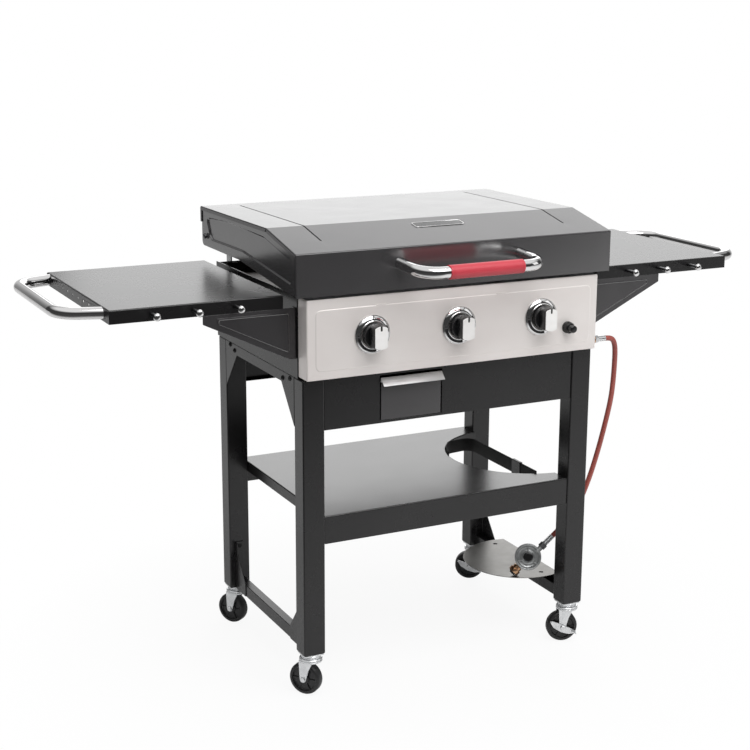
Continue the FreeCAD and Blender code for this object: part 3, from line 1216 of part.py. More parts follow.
# Casters: fixed plate and king pin under each leg, swivelling fork with axle, wheel, brake pedals in part.
PLATE_LOW = "leg_foot - caster_plate"
AXLE_Z = "wheel_radius"
FORK_IN = "wheel_half + fork_gap"
FORK_OUT = f"{FORK_IN} + fork_sheet"
mounts = []
for end, fore in ENDS.items():
    for side, sign in SIDES.items():
        key = f"{end}_{side}"
        x, y = signed(sign, LEG_MID_X), signed(fore, LEG_MID_Y)
        plate = box(f"caster_plate_{key}", (f"{x} - caster_plate_x / 2", f"{x} + caster_plate_x / 2"),
                    (f"{y} - caster_plate_y / 2", f"{y} + caster_plate_y / 2"), (PLATE_LOW, "leg_foot"))
        race = cylinder(f"raceway_{key}", "z", "raceway_radius", f"{PLATE_LOW} - crown_high - race_gap",
                        (x, y, "crown_high + race_gap"))
        pin = cylinder(f"king_pin_{key}", "z", "pin_radius", f"{PLATE_LOW} - pin_low", (x, y, "pin_low"))
        head = cylinder(f"pin_head_{key}", "z", "pin_head_radius", "pin_head", (x, y, "pin_low"))
        mounts.append(fuse(f"caster_mount_{key}", plate, race, pin, head))

        def settle(thing):
            """Stand a caster part under its leg at its parked swivel angle."""
            thing.Placement = FreeCAD.Placement(V(), FreeCAD.Rotation(V(0, 0, 1), size(f"turn_{key}")))
            return place(thing, x, y, 0)

        crown = cut(f"crown_{key}",
                    cylinder(f"crown_disc_{key}", "z", "crown_radius", "crown_high - crown_low",
                             (0, 0, "crown_low"), True),
                    cylinder(f"crown_bore_{key}", "z", "pin_radius + running_gap", "crown_high - crown_low",
                             (0, 0, "crown_low"), True))
        cheek_points = [("-fork_front", "crown_low + 2"), ("fork_back", "crown_low + 2"),
                        ("trail + fork_ear", AXLE_Z), ("trail - fork_ear", AXLE_Z)]
        fork_solids = [crown]
        for hand, wing in SIDES.items():
            low = span(wing, FORK_IN, FORK_OUT)
            cheek = profile(f"cheek_{key}_{hand}", "XZ_Plane", cheek_points, "fork_sheet", (0, low[0], 0), True)
            ear = cylinder(f"ear_{key}_{hand}", "y", "fork_ear", "fork_sheet", ("trail", low[0], AXLE_Z), True)
            fork_solids += [cheek, ear]
        fork = fuse(f"fork_solid_{key}", *fork_solids)
        # the braked casters have a longer axle that also carries the rocking pedal
        braked = side == "right"
        axle_near = f"{FORK_OUT} + 2 * rocker_gap + rocker_sheet" if braked else FORK_OUT
        axle_length = f"{FORK_OUT} + {axle_near}"
        axle_hole, axle = [cylinder(f"{name}_{key}", "y", "axle_radius", axle_length,
                                    ("trail", f"-({FORK_OUT})", AXLE_Z), True) for name in ("axle_hole", "axle_bar")]
        axle_heads = [cylinder(f"axle_head_{key}_far", "y", "axle_head_radius", "axle_head",
                               ("trail", f"-({FORK_OUT} + axle_head)", AXLE_Z), True),
                      cylinder(f"axle_head_{key}_near", "y", "axle_head_radius", "axle_head",
                               ("trail", axle_near, AXLE_Z), True)]
        node(f"caster_fork_{key}", settle(group(f"fork_{key}", cut(f"fork_bored_{key}", fork, axle_hole),
                                                fuse(f"axle_{key}", axle, *axle_heads))))
        if braked:
            rocker_y = f"{FORK_OUT} + rocker_gap"
            rocker_face = f"{rocker_y} + rocker_sheet"
            half, high, low = "rocker_half", "rocker_high", "rocker_low"
            plate_points = [(f"-{half}", "0"), (f"-{half} * 0.6", f"-{low} * 0.75"), ("0", f"-{low}"),
                            (f"{half} * 0.6", f"-{low} * 0.75"), (half, "0"), (half, high),
                            (f"{half} * 0.5", f"{high} * 1.5"), (f"-{half} * 0.5", f"{high} * 1.5"),
                            (f"-{half}", high)]
            plate = profile(f"rocker_plate_{key}", "XZ_Plane", plate_points, "rocker_sheet", (0, rocker_y, 0), True)
            toe = box(f"rocker_toe_{key}", (f"-{half}", f"-{half} + rocker_toe_width"),
                      (rocker_face, f"{rocker_face} + rocker_toe"), ("0", "rocker_sheet"), True)
            heel = box(f"rocker_heel_{key}", (f"{half} - rocker_sheet", half),
                       (rocker_face, f"{rocker_face} + rocker_heel"), ("0", high), True)
            bore = cylinder(f"rocker_bore_{key}", "y", "axle_radius + running_gap", "rocker_sheet",
                            (0, rocker_y, 0), True)
            rocker = cut(f"rocker_{key}", fuse(f"rocker_solid_{key}", plate, toe, heel), bore)
            rocker.Placement = FreeCAD.Placement(V(), FreeCAD.Rotation(V(0, 1, 0), -size("rocker_tilt")))
            place(rocker, "trail", 0, AXLE_Z, True)
            node(f"brake_pedal_{end}", settle(group(f"pedal_{key}", rocker)))
        bore = "axle_radius + running_gap"
        wheel_points = [(bore, "-wheel_half"), ("wheel_hub_radius", "-wheel_half"),
                        ("wheel_hub_radius", "-wheel_disc_half"), ("wheel_rim_radius", "-wheel_disc_half"),
                        ("wheel_rim_radius", "-wheel_half"),
                        ("wheel_shoulder", "-wheel_half"), ("wheel_radius", "-wheel_tread_half"),
                        ("wheel_radius", "wheel_tread_half"), ("wheel_shoulder", "wheel_half"),
                        ("wheel_rim_radius", "wheel_half"), ("wheel_rim_radius", "wheel_disc_half"),
                        ("wheel_hub_radius", "wheel_disc_half"), ("wheel_hub_radius", "wheel_half"),
                        (bore, "wheel_half")]
        wheel = turned(f"wheel_disc_{key}", wheel_points, (0, 0, 0), True)
        wheel.Placement = FreeCAD.Placement(V(), AXES["y"])
        place(wheel, "trail", 0, AXLE_Z, True)
        node(f"caster_wheel_{key}", settle(group(f"wheel_{key}", wheel)))
node("caster_mounts", group("mount_group", *mounts))

# Gas hose: straight runs joined by arcs as large as the runs allow.
route = [V(x, y + shift, z) for x, y, z in HOSE_ROUTE]
hose_radii = []
for before, corner, after in zip(route, route[1:], route[2:]):
    half = (math.pi - (before - corner).getAngle(after - corner)) / 2
    shorter = min((before - corner).Length, (after - corner).Length)
    hose_radii.append(0.45 * shorter / math.tan(half))
node("gas_hose", tube("hose_part", route, hose_radii, size("hose_radius")))

# Regulator: body, vent cap, coupling nut with its nose, and the outlet with its ferrule.
reg_axis = V(-0.47, -0.84, 0.27).normalize()
nut_way = V(-30, 7, -30).normalize()
into = (route[-1] - route[-2]).normalize()
REG = ("reg_x", "reg_y", "reg_z")


def moved(base, way, distance):
    """Expressions for a point some distance along a direction from a base point."""
    return tuple(f"{b} + {w:.6f} * ({distance})" for b, w in zip(base, (way.x, way.y, way.z)))


cover = cylinder("reg_cover_part", reg_axis, "reg_radius", "reg_cover", REG)
bowl = cone("reg_bowl", reg_axis * -1, "reg_radius", "reg_back_radius", "reg_back", REG)
neck_in = cylinder("reg_neck_in", nut_way, "neck_radius", "nut_away", REG)
hose_end = tuple(str(c) for c in HOSE_ROUTE[-1])
hex_at = moved(hose_end, into, "outlet_ferrule_length")
neck_at = moved(hose_end, into, "outlet_ferrule_length + outlet_hex_length")
neck_out = cylinder("reg_neck_out", into, "neck_radius", "neck_length", neck_at)
node("regulator_body", fuse("regulator_part", cover, bowl, neck_in, neck_out))
node("regulator_vent_cap", cylinder("vent_part", reg_axis, "vent_radius", "vent_height",
                                    moved(REG, reg_axis, "reg_cover")))
node("regulator_nut", cylinder("nut_part", nut_way, "nut_radius", "nut_length", moved(REG, nut_way, "nut_away")))
node("regulator_seal", cylinder("nose_part", nut_way, "nose_radius", "nose_length",
                                moved(REG, nut_way, "nut_away + nut_length")))
node("regulator_outlet", fuse("outlet_part",
                              cylinder("outlet_hex", into, "outlet_hex_radius", "outlet_hex_length", hex_at),
                              cylinder("outlet_ferrule", into, "outlet_ferrule_radius",
                                       "outlet_ferrule_length", hose_end)))

doc.recompute()

faults = [f"{thing.Name}: {thing.State}" for thing in doc.Objects
          if "Invalid" in thing.State or "Error" in thing.State]
labels = [thing.Label for thing in NODES]
for thing in NODES:
    shape = thing.Shape
    if shape.isNull() or not shape.isValid() or not shape.Solids:
        faults.append(f"{thing.Label}: bad shape")
    if min((solid.Volume for solid in shape.Solids), default=0) <= 0:
        faults.append(f"{thing.Label}: no volume")
if len(set(labels)) != len(labels) or len(labels) > 60:
    faults.append("node names")
if faults:
    raise RuntimeError("; ".join(faults))

os.makedirs("parts", exist_ok=True)
whole = Part.makeCompound([thing.Shape for thing in NODES])
for thing in NODES:
    thing.Shape.exportStep(f"parts/{thing.Label}.step")
    print(f"{thing.Label}: {len(thing.Shape.Solids)} solids, {thing.Shape.Volume / 1000:.1f} cm3")
print(f"{len(NODES)} nodes, box {whole.BoundBox}")
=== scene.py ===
# %% [markdown]
# # Outdoor gas griddle station in Blender
#
# The real object is a welded black cart on four casters. It carries a firebox with a flat griddle plate,
# a brushed control panel with three knobs, a folded lid with a red grip, and two side shelves.
# A gas bottle would stand on the round plate below, and a red hose runs down to its regulator.
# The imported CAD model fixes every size. Each piece here is made around it, in the same frame, in metres,
# and rides on the same moving bodies, so the lid, drawer, knobs and casters keep working.

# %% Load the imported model
import json
import math

import bmesh
import bpy
from mathutils import Matrix, Vector
from mathutils.geometry import tessellate_polygon

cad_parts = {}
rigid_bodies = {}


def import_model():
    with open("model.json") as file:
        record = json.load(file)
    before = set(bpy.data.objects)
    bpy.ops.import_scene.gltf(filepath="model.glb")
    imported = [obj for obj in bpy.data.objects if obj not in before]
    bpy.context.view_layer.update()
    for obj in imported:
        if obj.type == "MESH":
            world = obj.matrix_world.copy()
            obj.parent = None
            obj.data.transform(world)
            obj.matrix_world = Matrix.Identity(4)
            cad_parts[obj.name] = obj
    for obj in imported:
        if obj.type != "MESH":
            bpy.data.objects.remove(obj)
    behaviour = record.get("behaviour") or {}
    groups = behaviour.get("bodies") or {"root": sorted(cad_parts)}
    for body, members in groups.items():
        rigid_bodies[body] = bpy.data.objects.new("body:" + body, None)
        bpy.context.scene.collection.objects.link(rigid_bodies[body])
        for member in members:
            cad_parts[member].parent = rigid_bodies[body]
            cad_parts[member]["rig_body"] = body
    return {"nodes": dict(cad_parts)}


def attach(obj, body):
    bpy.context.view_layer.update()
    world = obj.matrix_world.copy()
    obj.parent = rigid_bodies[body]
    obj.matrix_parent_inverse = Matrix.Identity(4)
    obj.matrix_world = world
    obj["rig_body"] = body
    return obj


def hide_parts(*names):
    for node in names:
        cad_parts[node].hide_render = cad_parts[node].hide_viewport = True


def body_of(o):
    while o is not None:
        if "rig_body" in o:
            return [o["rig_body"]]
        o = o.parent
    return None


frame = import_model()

scene = bpy.context.scene
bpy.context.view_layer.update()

# %% [markdown]
# ## Millimetres from the middle of the legs
#
# A drawing of this cart would be measured from the middle of its four legs. The shared frame is centred on
# the outer box instead, and the lid handle reaches far to the front, so the legs sit 50.875 mm behind it.
# One small function turns drawing millimetres into metres in the shared frame, and another gives a turned
# shape its place and axis.

# %% Points from drawing millimetres
MM = 0.001
FORWARD = 50.875
LEG_X, LEG_Y = 331, 218.5
FRONT = (0, -1, 0)


def at(x, y, z):
    """Point in metres from millimetres measured from the middle of the legs."""
    return Vector((x, y + FORWARD, z)) * MM


def spot(x, y, z, axis):
    """Matrix that puts a millimetre shape at a drawing point, with its local Z along an axis."""
    lean = Vector(axis).to_track_quat("Z", "Y").to_matrix().to_4x4()
    return Matrix.Translation(at(x, y, z)) @ lean @ Matrix.Scale(MM, 4)


def polar(radius, degrees):
    """Flat point at a distance and an angle from the origin."""
    return radius * math.cos(math.radians(degrees)), radius * math.sin(math.radians(degrees))


def face_of(place):
    """Function that gives the point at (across, up, out) on the face of a placed shape."""
    return lambda across, up, out: place @ Vector((across, up, out))


def side_of(place):
    """The same for a shape seen from the side, at (along, up, aside)."""
    return lambda along, up, aside: place @ Vector((along, aside, up))


print("front left leg stands at", at(-LEG_X, -LEG_Y, 0))

# %% [markdown]
# ## Camera
#
# The photograph was taken from the front left, a little above the lid, with a fairly long lens: the rear
# edges are hardly shorter than the front ones. The camera stands there, and a small shift puts the cart
# where it is in the frame without tilting the uprights.

# %% Camera
EYE = (-1.5861, -2.9918, 1.4991)
HEADING, DOWNWARD, ROLL = -26.901, 14.027, 0.3515
lens = bpy.data.cameras.new("photo_camera")
lens.lens = 73.64
lens.sensor_width = 36.0
lens.shift_x, lens.shift_y = -0.0140, -0.0052
camera = bpy.data.objects.new("photo_camera", lens)
scene.collection.objects.link(camera)
camera.matrix_world = (Matrix.Translation(EYE)
                       @ Matrix.Rotation(math.radians(HEADING), 4, "Z")
                       @ Matrix.Rotation(math.radians(90 - DOWNWARD), 4, "X")
                       @ Matrix.Rotation(math.radians(ROLL), 4, "Z"))
scene.camera = camera
scene.view_settings.view_transform = "Standard"
print("camera stands at", EYE)

# %% [markdown]
# ## Building a finish from nodes
#
# Most surfaces here are one substance with small differences across it: paint with an orange-peel skin,
# brushed sheet with long streaks, zinc with cloudy patches. One function can build them all from three
# noises on Object coordinates: a broad one for colour, a stretched one for gloss and a fine one for relief.
# Numbers that are the same all over, such as the metallic value, go straight onto the shader.

# %% Small node helpers
def add(tree, kind, sockets=None, **settings):
    """Add a node, set its options, and give its inputs a value or a link."""
    made = tree.nodes.new(kind if kind.startswith(("Geometry", "Function")) else "ShaderNode" + kind)
    for name, value in settings.items():
        setattr(made, name, value)
    for name, value in (sockets or {}).items():
        if isinstance(value, bpy.types.NodeSocket):
            tree.links.new(value, made.inputs[name])
        else:
            made.inputs[name].default_value = value
    return made


def both(tree, operation, first, second):
    """Combine two values, for example by MULTIPLY or MAXIMUM."""
    return add(tree, "Math", {0: first, 1: second}, operation=operation).outputs["Value"]


def along_way(tree, where, way):
    """How far a place or a direction lies along a way."""
    return add(tree, "VectorMath", {0: where, 1: way}, operation="DOT_PRODUCT").outputs["Value"]


def span(tree, value, low, high, to_low, to_high):
    """Carry a value from one range to another."""
    return add(tree, "MapRange", {"Value": value, "From Min": low, "From Max": high,
                                  "To Min": to_low, "To Max": to_high}).outputs["Result"]


def grain(tree, where, scale, stretch=(1, 1, 1), detail=3.0):
    """Noise from 0 to 1 at a scale per metre; a small stretch value makes streaks along that axis."""
    placed_at = add(tree, "Mapping", {"Vector": where, "Scale": stretch}).outputs["Vector"]
    noise = add(tree, "TexNoise", {"Vector": placed_at, "Scale": scale, "Detail": detail})
    return span(tree, noise.outputs["Fac"], 0.3, 0.7, 0.0, 1.0)


def shades(tree, value, first, second):
    """Mix two colours by a value; a colour is a socket or three numbers."""
    first, second = (end if isinstance(end, bpy.types.NodeSocket) else (*end, 1) for end in (first, second))
    return add(tree, "Mix", {0: value, 6: first, 7: second}, data_type="RGBA").outputs[2]


def relief(tree, height, depth, below=None):
    """Bump from a height of 0 to 1 and a depth in metres, on top of another bump."""
    sockets = {"Height": height, "Distance": depth}
    if below:
        sockets["Normal"] = below
    return add(tree, "Bump", sockets).outputs["Normal"]


def blank(name):
    """New material: its tree, its shader and its Object coordinates."""
    made = bpy.data.materials.new(name)
    made.use_nodes = True
    tree = made.node_tree
    return made, tree, tree.nodes["Principled BSDF"], add(tree, "TexCoord").outputs["Object"]


def finish(name, colours, rough, metal=0.0, cloud=5.0, marks=40.0, skin=900.0, depth=2e-5, **fixed):
    """A finish whose colour, gloss and relief follow a broad, a middle and a fine noise.

    Each noise is a scale, or a scale and its stretch. A colour is three numbers, or one for a grey.
    """
    made, tree, shader, where = blank(name)
    broad, middle, fine = (grain(tree, where, *(noise if isinstance(noise, tuple) else (noise,)))
                           for noise in (cloud, marks, skin))
    first, second = (tone if isinstance(tone, tuple) else (tone, tone, tone) for tone in colours)
    tree.links.new(shades(tree, broad, first, second), shader.inputs["Base Color"])
    tree.links.new(span(tree, middle, 0, 1, *rough), shader.inputs["Roughness"])
    tree.links.new(relief(tree, fine, depth), shader.inputs["Normal"])
    shader.inputs["Metallic"].default_value = metal
    for socket, value in fixed.items():
        shader.inputs[socket].default_value = value
    return made


# %% [markdown]
# ## Paints, metals, plastics and rubbers
#
# Nearly everything is black satin powder coat, which is a thin plastic skin: dark, with a soft clear
# reflection and a fine orange-peel ripple. The lid's paint is a little greyer, and its front face and end
# caps mirror the grip and the room more strongly, as does the lower shelf. The control panel is brushed
# sideways, so its streaks are stretched along X. Chrome is almost a mirror, zinc plate is duller and cloudy,
# and die-cast grey is grainy.

# %% Paints and metals
def coat(name, dark, light, rough, mirror):
    """Powder coat; its strength as a mirror is given as an index of refraction."""
    return finish(name, (dark, light), rough, marks=14.0, skin=1500.0, depth=8e-7, IOR=mirror)


black_paint = coat("black_paint", (0.0085, 0.008, 0.0085), (0.012, 0.0115, 0.012), (0.272, 0.276), 1.5)
deck_paint = coat("deck_paint", (0.008, 0.0075, 0.008), (0.012, 0.0115, 0.012), (0.25, 0.27), 2.25)
lid_paint = coat("lid_paint", (0.039, 0.037, 0.039), (0.047, 0.045, 0.047), (0.20, 0.22), 1.68)
lid_gloss = coat("lid_gloss", (0.037, 0.035, 0.037), (0.045, 0.043, 0.045), (0.17, 0.19), 2.6)
brushed_steel = finish("brushed_steel", ((0.82, 0.765, 0.74), (0.90, 0.855, 0.83)), (0.30, 0.40), 0.2,
                       (5.0, (0.7, 1, 1.4)), (60.0, (0.12, 1, 12)), (90.0, (0.05, 1, 22)), 8e-6)
chrome = finish("chrome", ((0.70, 0.695, 0.695), (0.78, 0.775, 0.775)), (0.05, 0.08), 1.0, depth=1e-6)
zinc_plate = finish("zinc_plate", ((0.66, 0.67, 0.68), (0.82, 0.83, 0.84)), (0.13, 0.22), 0.8,
                    60.0, 160.0, depth=6e-6)
cast_grey = finish("cast_grey", ((0.34, 0.35, 0.35), (0.46, 0.47, 0.47)), (0.30, 0.42), 0.7,
                   70.0, skin=1400.0, depth=4e-5)
coppery_brass = finish("coppery_brass", ((0.42, 0.23, 0.13), (0.62, 0.40, 0.24)), (0.22, 0.36), 1.0,
                       90.0, depth=8e-6)
dark_nut_steel = finish("dark_nut_steel", ((0.10, 0.10, 0.105), (0.17, 0.17, 0.175)), (0.25, 0.38), 1.0,
                        90.0, depth=8e-6)
plate_zinc = finish("plate_zinc", ((0.21, 0.205, 0.195), (0.27, 0.265, 0.255)), (0.34, 0.40), 1.0,
                    9.0, 60.0, depth=4e-6)
pale_sheet = finish("pale_sheet", (0.50, 0.60), (0.30, 0.42), 0.9,
                    16.0, (90.0, (0.1, 1, 10)), (500.0, (0.1, 1, 10)), 1e-5)

# %% Plastics and rubbers
grip_red = finish("grip_red", ((0.56, 0.045, 0.065), (0.64, 0.055, 0.080)), (0.36, 0.44),
                  skin=(1100.0, (0.3, 1, 1)))
knob_black = finish("knob_black", ((0.010, 0.010, 0.011), (0.016, 0.016, 0.017)), (0.20, 0.30),
                    skin=2200.0, depth=8e-6)
knob_silver = finish("knob_silver", ((0.92, 0.905, 0.89), (0.97, 0.96, 0.945)), (0.28, 0.36),
                     cloud=60.0, marks=(300.0, (1, 1, 8)), depth=5e-6)
tread_rubber = finish("tread_rubber", ((0.007, 0.007, 0.0075), (0.013, 0.013, 0.0135)), (0.36, 0.48),
                      cloud=60.0, skin=700.0, depth=5e-5)
hub_plastic = finish("hub_plastic", ((0.006, 0.006, 0.0065), (0.011, 0.011, 0.0115)), (0.26, 0.36))
seal_rubber = finish("seal_rubber", (0.012, 0.020), (0.50, 0.65), depth=3e-5)
hose_rubber = finish("hose_rubber", ((0.320, 0.066, 0.052), (0.400, 0.092, 0.072)), (0.34, 0.46),
                     cloud=(30.0, (1, 1, 0.4)), skin=(1200.0, (1, 1, 0.5)))
print("finishes:", len(bpy.data.materials))

# %% [markdown]
# ## Webbing and seasoned steel
#
# The bottle strap is flat nylon webbing. Its weave runs along the strap, so it follows the strap's own UV
# map: ribs across and a fine warp along. The griddle plate is bare rolled steel darkened by oil, with brown
# and blue-black patches and faint scraper marks from side to side.

# %% Webbing and griddle finishes
webbing, tree, shader, _ = blank("webbing")
along_strap = add(tree, "UVMap", uv_map="strap").outputs["UV"]
threads = []
for scale, uneven, way in ((210.0, 0.6, "X"), (330.0, 1.0, "Y")):
    threads.append(add(tree, "TexWave", {"Vector": along_strap, "Scale": scale, "Distortion": uneven,
                                         "Detail": 1.0}, bands_direction=way).outputs["Fac"])
weave = both(tree, "MULTIPLY", *threads)
tree.links.new(shades(tree, weave, (0.003, 0.003, 0.003), (0.012, 0.012, 0.012)), shader.inputs["Base Color"])
tree.links.new(relief(tree, weave, 0.0004), shader.inputs["Normal"])
shader.inputs["Roughness"].default_value = 0.75
shader.inputs["Sheen Weight"].default_value = 0.05

seasoned_steel, tree, shader, where = blank("seasoned_steel")
patches = grain(tree, where, 9.0, detail=6.0)
scrapes = grain(tree, where, 50.0, (0.05, 1, 1), 4.0)
pits = grain(tree, where, 900.0)
oiled = shades(tree, patches, (0.030, 0.026, 0.024), (0.075, 0.058, 0.047))
tree.links.new(shades(tree, span(tree, scrapes, 0, 1, 0, 0.45), oiled, (0.10, 0.10, 0.10)),
               shader.inputs["Base Color"])
tree.links.new(span(tree, scrapes, 0, 1, 0.32, 0.50), shader.inputs["Roughness"])
tree.links.new(relief(tree, scrapes, 3e-5, relief(tree, pits, 3e-5)), shader.inputs["Normal"])
shader.inputs["Metallic"].default_value = 0.9
print("webbing and seasoned steel are ready")

# %% [markdown]
# ## Floor, backdrop and light
#
# The camera sees a plain white floor and background. Reflections see a studio instead: bright overhead and
# behind on the right, where the lid and the shelves mirror it, and dark elsewhere. The floor keeps the
# object's soft shadow, and its colour is painted darker towards the front left: painted shade, which the
# black fronts mirror, so they stay dark and lighten to the right. A large soft lamp hangs high above the
# front, a weaker one fills from the right, and a wide one behind lights the rear edges.

# %% World and floor
def seen_directly(tree):
    """1 for camera and transmission rays, 0 for the others."""
    path = add(tree, "LightPath").outputs
    return both(tree, "MAXIMUM", path["Is Camera Ray"], path["Is Transmission Ray"])


WORLD_LIGHT = 0.55
REAR_RIGHT, FRONT_LEFT = (0.46, 0.89, 0), (-0.70, -0.71, 0)
world = bpy.data.worlds.new("studio")
world.use_nodes = True
tree = world.node_tree
toward = add(tree, "TexCoord").outputs["Generated"]
upward = add(tree, "SeparateXYZ", {"Vector": toward}).outputs["Z"]
overhead = span(tree, upward, 0.42, 0.70, 0.05, 0.90)
behind = span(tree, along_way(tree, toward, REAR_RIGHT), 0.62, 0.88, 0.0, 0.58)
mirrored = span(tree, add(tree, "LightPath").outputs["Is Glossy Ray"], 0, 1, WORLD_LIGHT,
                both(tree, "MAXIMUM", overhead, behind))
backdrop = tree.nodes["Background"].inputs
tree.links.new(span(tree, seen_directly(tree), 0, 1, mirrored, 1.0), backdrop["Strength"])
backdrop["Color"].default_value = (1, 1, 1, 1)
scene.world = world

floor_finish, tree, shader, where = blank("studio_floor")
# Painted shade: the floor's colour darkens towards the front left, and the black fronts mirror it.
painted_floor_shade = span(tree, along_way(tree, where, FRONT_LEFT), 0.6, 1.5, 0, 1)
tree.links.new(shades(tree, painted_floor_shade, (0.92, 0.92, 0.92), (0.05, 0.05, 0.05)), shader.inputs["Base Color"])
shader.inputs["Roughness"].default_value = 0.9
white = add(tree, "Emission", {"Color": (1, 1, 1, 1), "Strength": 1.0})
away = add(tree, "VectorMath", {0: where}, operation="LENGTH").outputs["Value"]
whiteness = both(tree, "MULTIPLY", seen_directly(tree), span(tree, away, 0.35, 1.0, 0.90, 1.0))
mixed = add(tree, "MixShader", {0: whiteness, 1: shader.outputs[0], 2: white.outputs[0]})
tree.links.new(mixed.outputs[0], tree.nodes["Material Output"].inputs["Surface"])
bm = bmesh.new()
bmesh.ops.create_grid(bm, x_segments=1, y_segments=1, size=12.0)
floor_mesh = bpy.data.meshes.new("studio_floor")
bm.to_mesh(floor_mesh)
bm.free()
floor_mesh.materials.append(floor_finish)
floor = bpy.data.objects.new("studio_floor", floor_mesh)
scene.collection.objects.link(floor)

# %% Lamps
MIDDLE = (0, 0, 0.6)
LAMPS = [("key_lamp", (0.1, -1.9, 3.4), MIDDLE, (2.8, 2.2), 74),
         ("fill_lamp", (3.8, -1.8, 2.2), MIDDLE, (2.0, 2.0), 13),
         ("back_lamp", (2.6, 4.6, 2.8), (0, 0.2, 0.95), (4.6, 3.8), 64)]
for name, place, target, (wide, high), power in LAMPS:
    light = bpy.data.lights.new(name, "AREA")
    light.shape = "RECTANGLE"
    light.size, light.size_y, light.energy = wide, high, power
    lamp = bpy.data.objects.new(name, light)
    scene.collection.objects.link(lamp)
    way = Vector(target) - Vector(place)
    lamp.matrix_world = Matrix.Translation(place) @ way.to_track_quat("-Z", "Y").to_matrix().to_4x4()
    lamp.visible_camera = False
print("lamps:", [name for name, *_ in LAMPS])

# %% [markdown]
# ## Gas hose
#
# The rubber hose leaves the inlet under the right end of the control panel, dives over in a tight bend and
# hangs in one long curve down to the regulator on the tank plate. A smooth curve with a few listed
# points has the same slow swing. It is a NURBS line, which rounds its own corners, with a round section.

# %% Gas hose
HOSE_ROUTE = [
    (0.3963, -0.185125, 0.730), (0.4095, -0.185125, 0.730), (0.4215, -0.182625, 0.723),
    (0.4305, -0.177125, 0.7065), (0.436, -0.171125, 0.684), (0.4405, -0.164125, 0.656),
    (0.4445, -0.156625, 0.620), (0.4463, -0.148625, 0.575), (0.4405, -0.139625, 0.518),
    (0.429, -0.131125, 0.449), (0.4115, -0.123625, 0.376), (0.386, -0.119125, 0.312),
    (0.364, -0.116125, 0.281), (0.342, -0.114125, 0.2606), (0.320, -0.112125, 0.242),
]
HOSE_RADIUS = 0.006
hose_line = bpy.data.curves.new("gas_line", "CURVE")
hose_line.dimensions = "3D"
hose_line.resolution_u = 12
hose_line.bevel_depth = HOSE_RADIUS
hose_line.bevel_resolution = 8
hose_line.use_fill_caps = True
run = hose_line.splines.new("NURBS")
run.points.add(len(HOSE_ROUTE) - 1)
for point, place in zip(run.points, HOSE_ROUTE):
    point.co = (*place, 1.0)
run.order_u = 3
run.use_endpoint_u = True
hose_line.materials.append(hose_rubber)
hose = bpy.data.objects.new("gas_line", hose_line)
scene.collection.objects.link(hose)
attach(hose, "base")
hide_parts("gas_hose")
print("hose points:", len(run.points))

# %% [markdown]
# ## Making meshes
#
# Turned parts, bent tubes and cut plates cover most of this object. A lathe turns a profile of radii and
# heights round an axis, a sweep carries a ring along a bent line, and a plate raises a flat outline.
# One function turns each mesh into a piece with a finish and a body.

# %% Pieces and shading
SHARP = math.radians(32)


def settled(name, mesh, body, stands_for=()):
    """Put finished mesh data into the scene as a piece that rides on a body."""
    made = bpy.data.objects.new(name, mesh)
    scene.collection.objects.link(made)
    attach(made, body)
    if stands_for:
        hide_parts(*stands_for)
    return made


def piece(name, bm, look, body, stands_for=(), outward=True, weld=1e-6):
    """Turn a bmesh into a piece; only edges with a sharp angle are shaded as edges."""
    bmesh.ops.remove_doubles(bm, verts=bm.verts, dist=weld)
    if outward:
        bmesh.ops.recalc_face_normals(bm, faces=bm.faces)
    for face in bm.faces:
        face.smooth = True
    for edge in bm.edges:
        edge.smooth = edge.calc_face_angle(math.pi) < SHARP
    mesh = bpy.data.meshes.new(name)
    bm.to_mesh(mesh)
    bm.free()
    mesh.materials.append(look)
    return settled(name, mesh, body, stands_for)


def modify(made, name, kind, **settings):
    """Add a modifier with its settings."""
    step = made.modifiers.new(name, kind)
    for setting, value in settings.items():
        setattr(step, setting, value)
    return step


def rounded(made, width):
    """Round a piece's sharp edges by a width in millimetres."""
    modify(made, "rounded", "BEVEL", width=width * MM, segments=2, limit_method="ANGLE",
           angle_limit=SHARP, harden_normals=True)


def walled(made, thickness):
    """Give an open skin its sheet thickness inwards, and keep its flat areas flat."""
    modify(made, "sheet", "SOLIDIFY", thickness=thickness * MM, offset=-1)
    modify(made, "flat", "WEIGHTED_NORMAL", keep_sharp=True)
    return made


# %% Lathe, sweep and plate
def circle(steps):
    """Points of a unit circle."""
    return [(math.cos(math.tau * i / steps), math.sin(math.tau * i / steps)) for i in range(steps)]


def joined(bm, loops):
    """Walls from each closed loop of points to the next."""
    for low, high in zip(loops, loops[1:]):
        for i in range(len(low)):
            j = (i + 1) % len(low)
            bm.faces.new((low[i], low[j], high[j], high[i]))


def turn(bm, profile, place, steps=48):
    """Turn (radius, height) points round local Z; a radius of 0 is a pole, equal ends close the ring."""
    closed = profile[0] == profile[-1]
    rows = []
    for radius, height in profile[:-1] if closed else profile:
        rows.append([bm.verts.new(place @ Vector((radius * x, radius * y, height)))
                     for x, y in circle(steps if radius else 1)])
    for upper, lower in zip(rows, rows[1:] + (rows[:1] if closed else [])):
        for i in range(steps):
            j = (i + 1) % steps
            ends = [upper[i % len(upper)], upper[j % len(upper)], lower[j % len(lower)], lower[i % len(lower)]]
            corners = list(dict.fromkeys(ends))
            if len(corners) > 2:
                bm.faces.new(corners)


def turned(name, profile, places, look, body, stands_for=(), steps=48):
    """Piece made of one profile turned at one or more places."""
    bm = bmesh.new()
    for place in places:
        turn(bm, profile, place, steps)
    return piece(name, bm, look, body, stands_for)


def rod(radius, begin, end):
    """Profile of a plain round bar."""
    return [(0, begin), (radius, begin), (radius, end), (0, end)]


def both_ways(half, middle=()):
    """Closed profile from its lower half, some points at the middle, and the half mirrored."""
    return [*half, *middle, *((radius, -height) for radius, height in half[::-1]), half[0]]


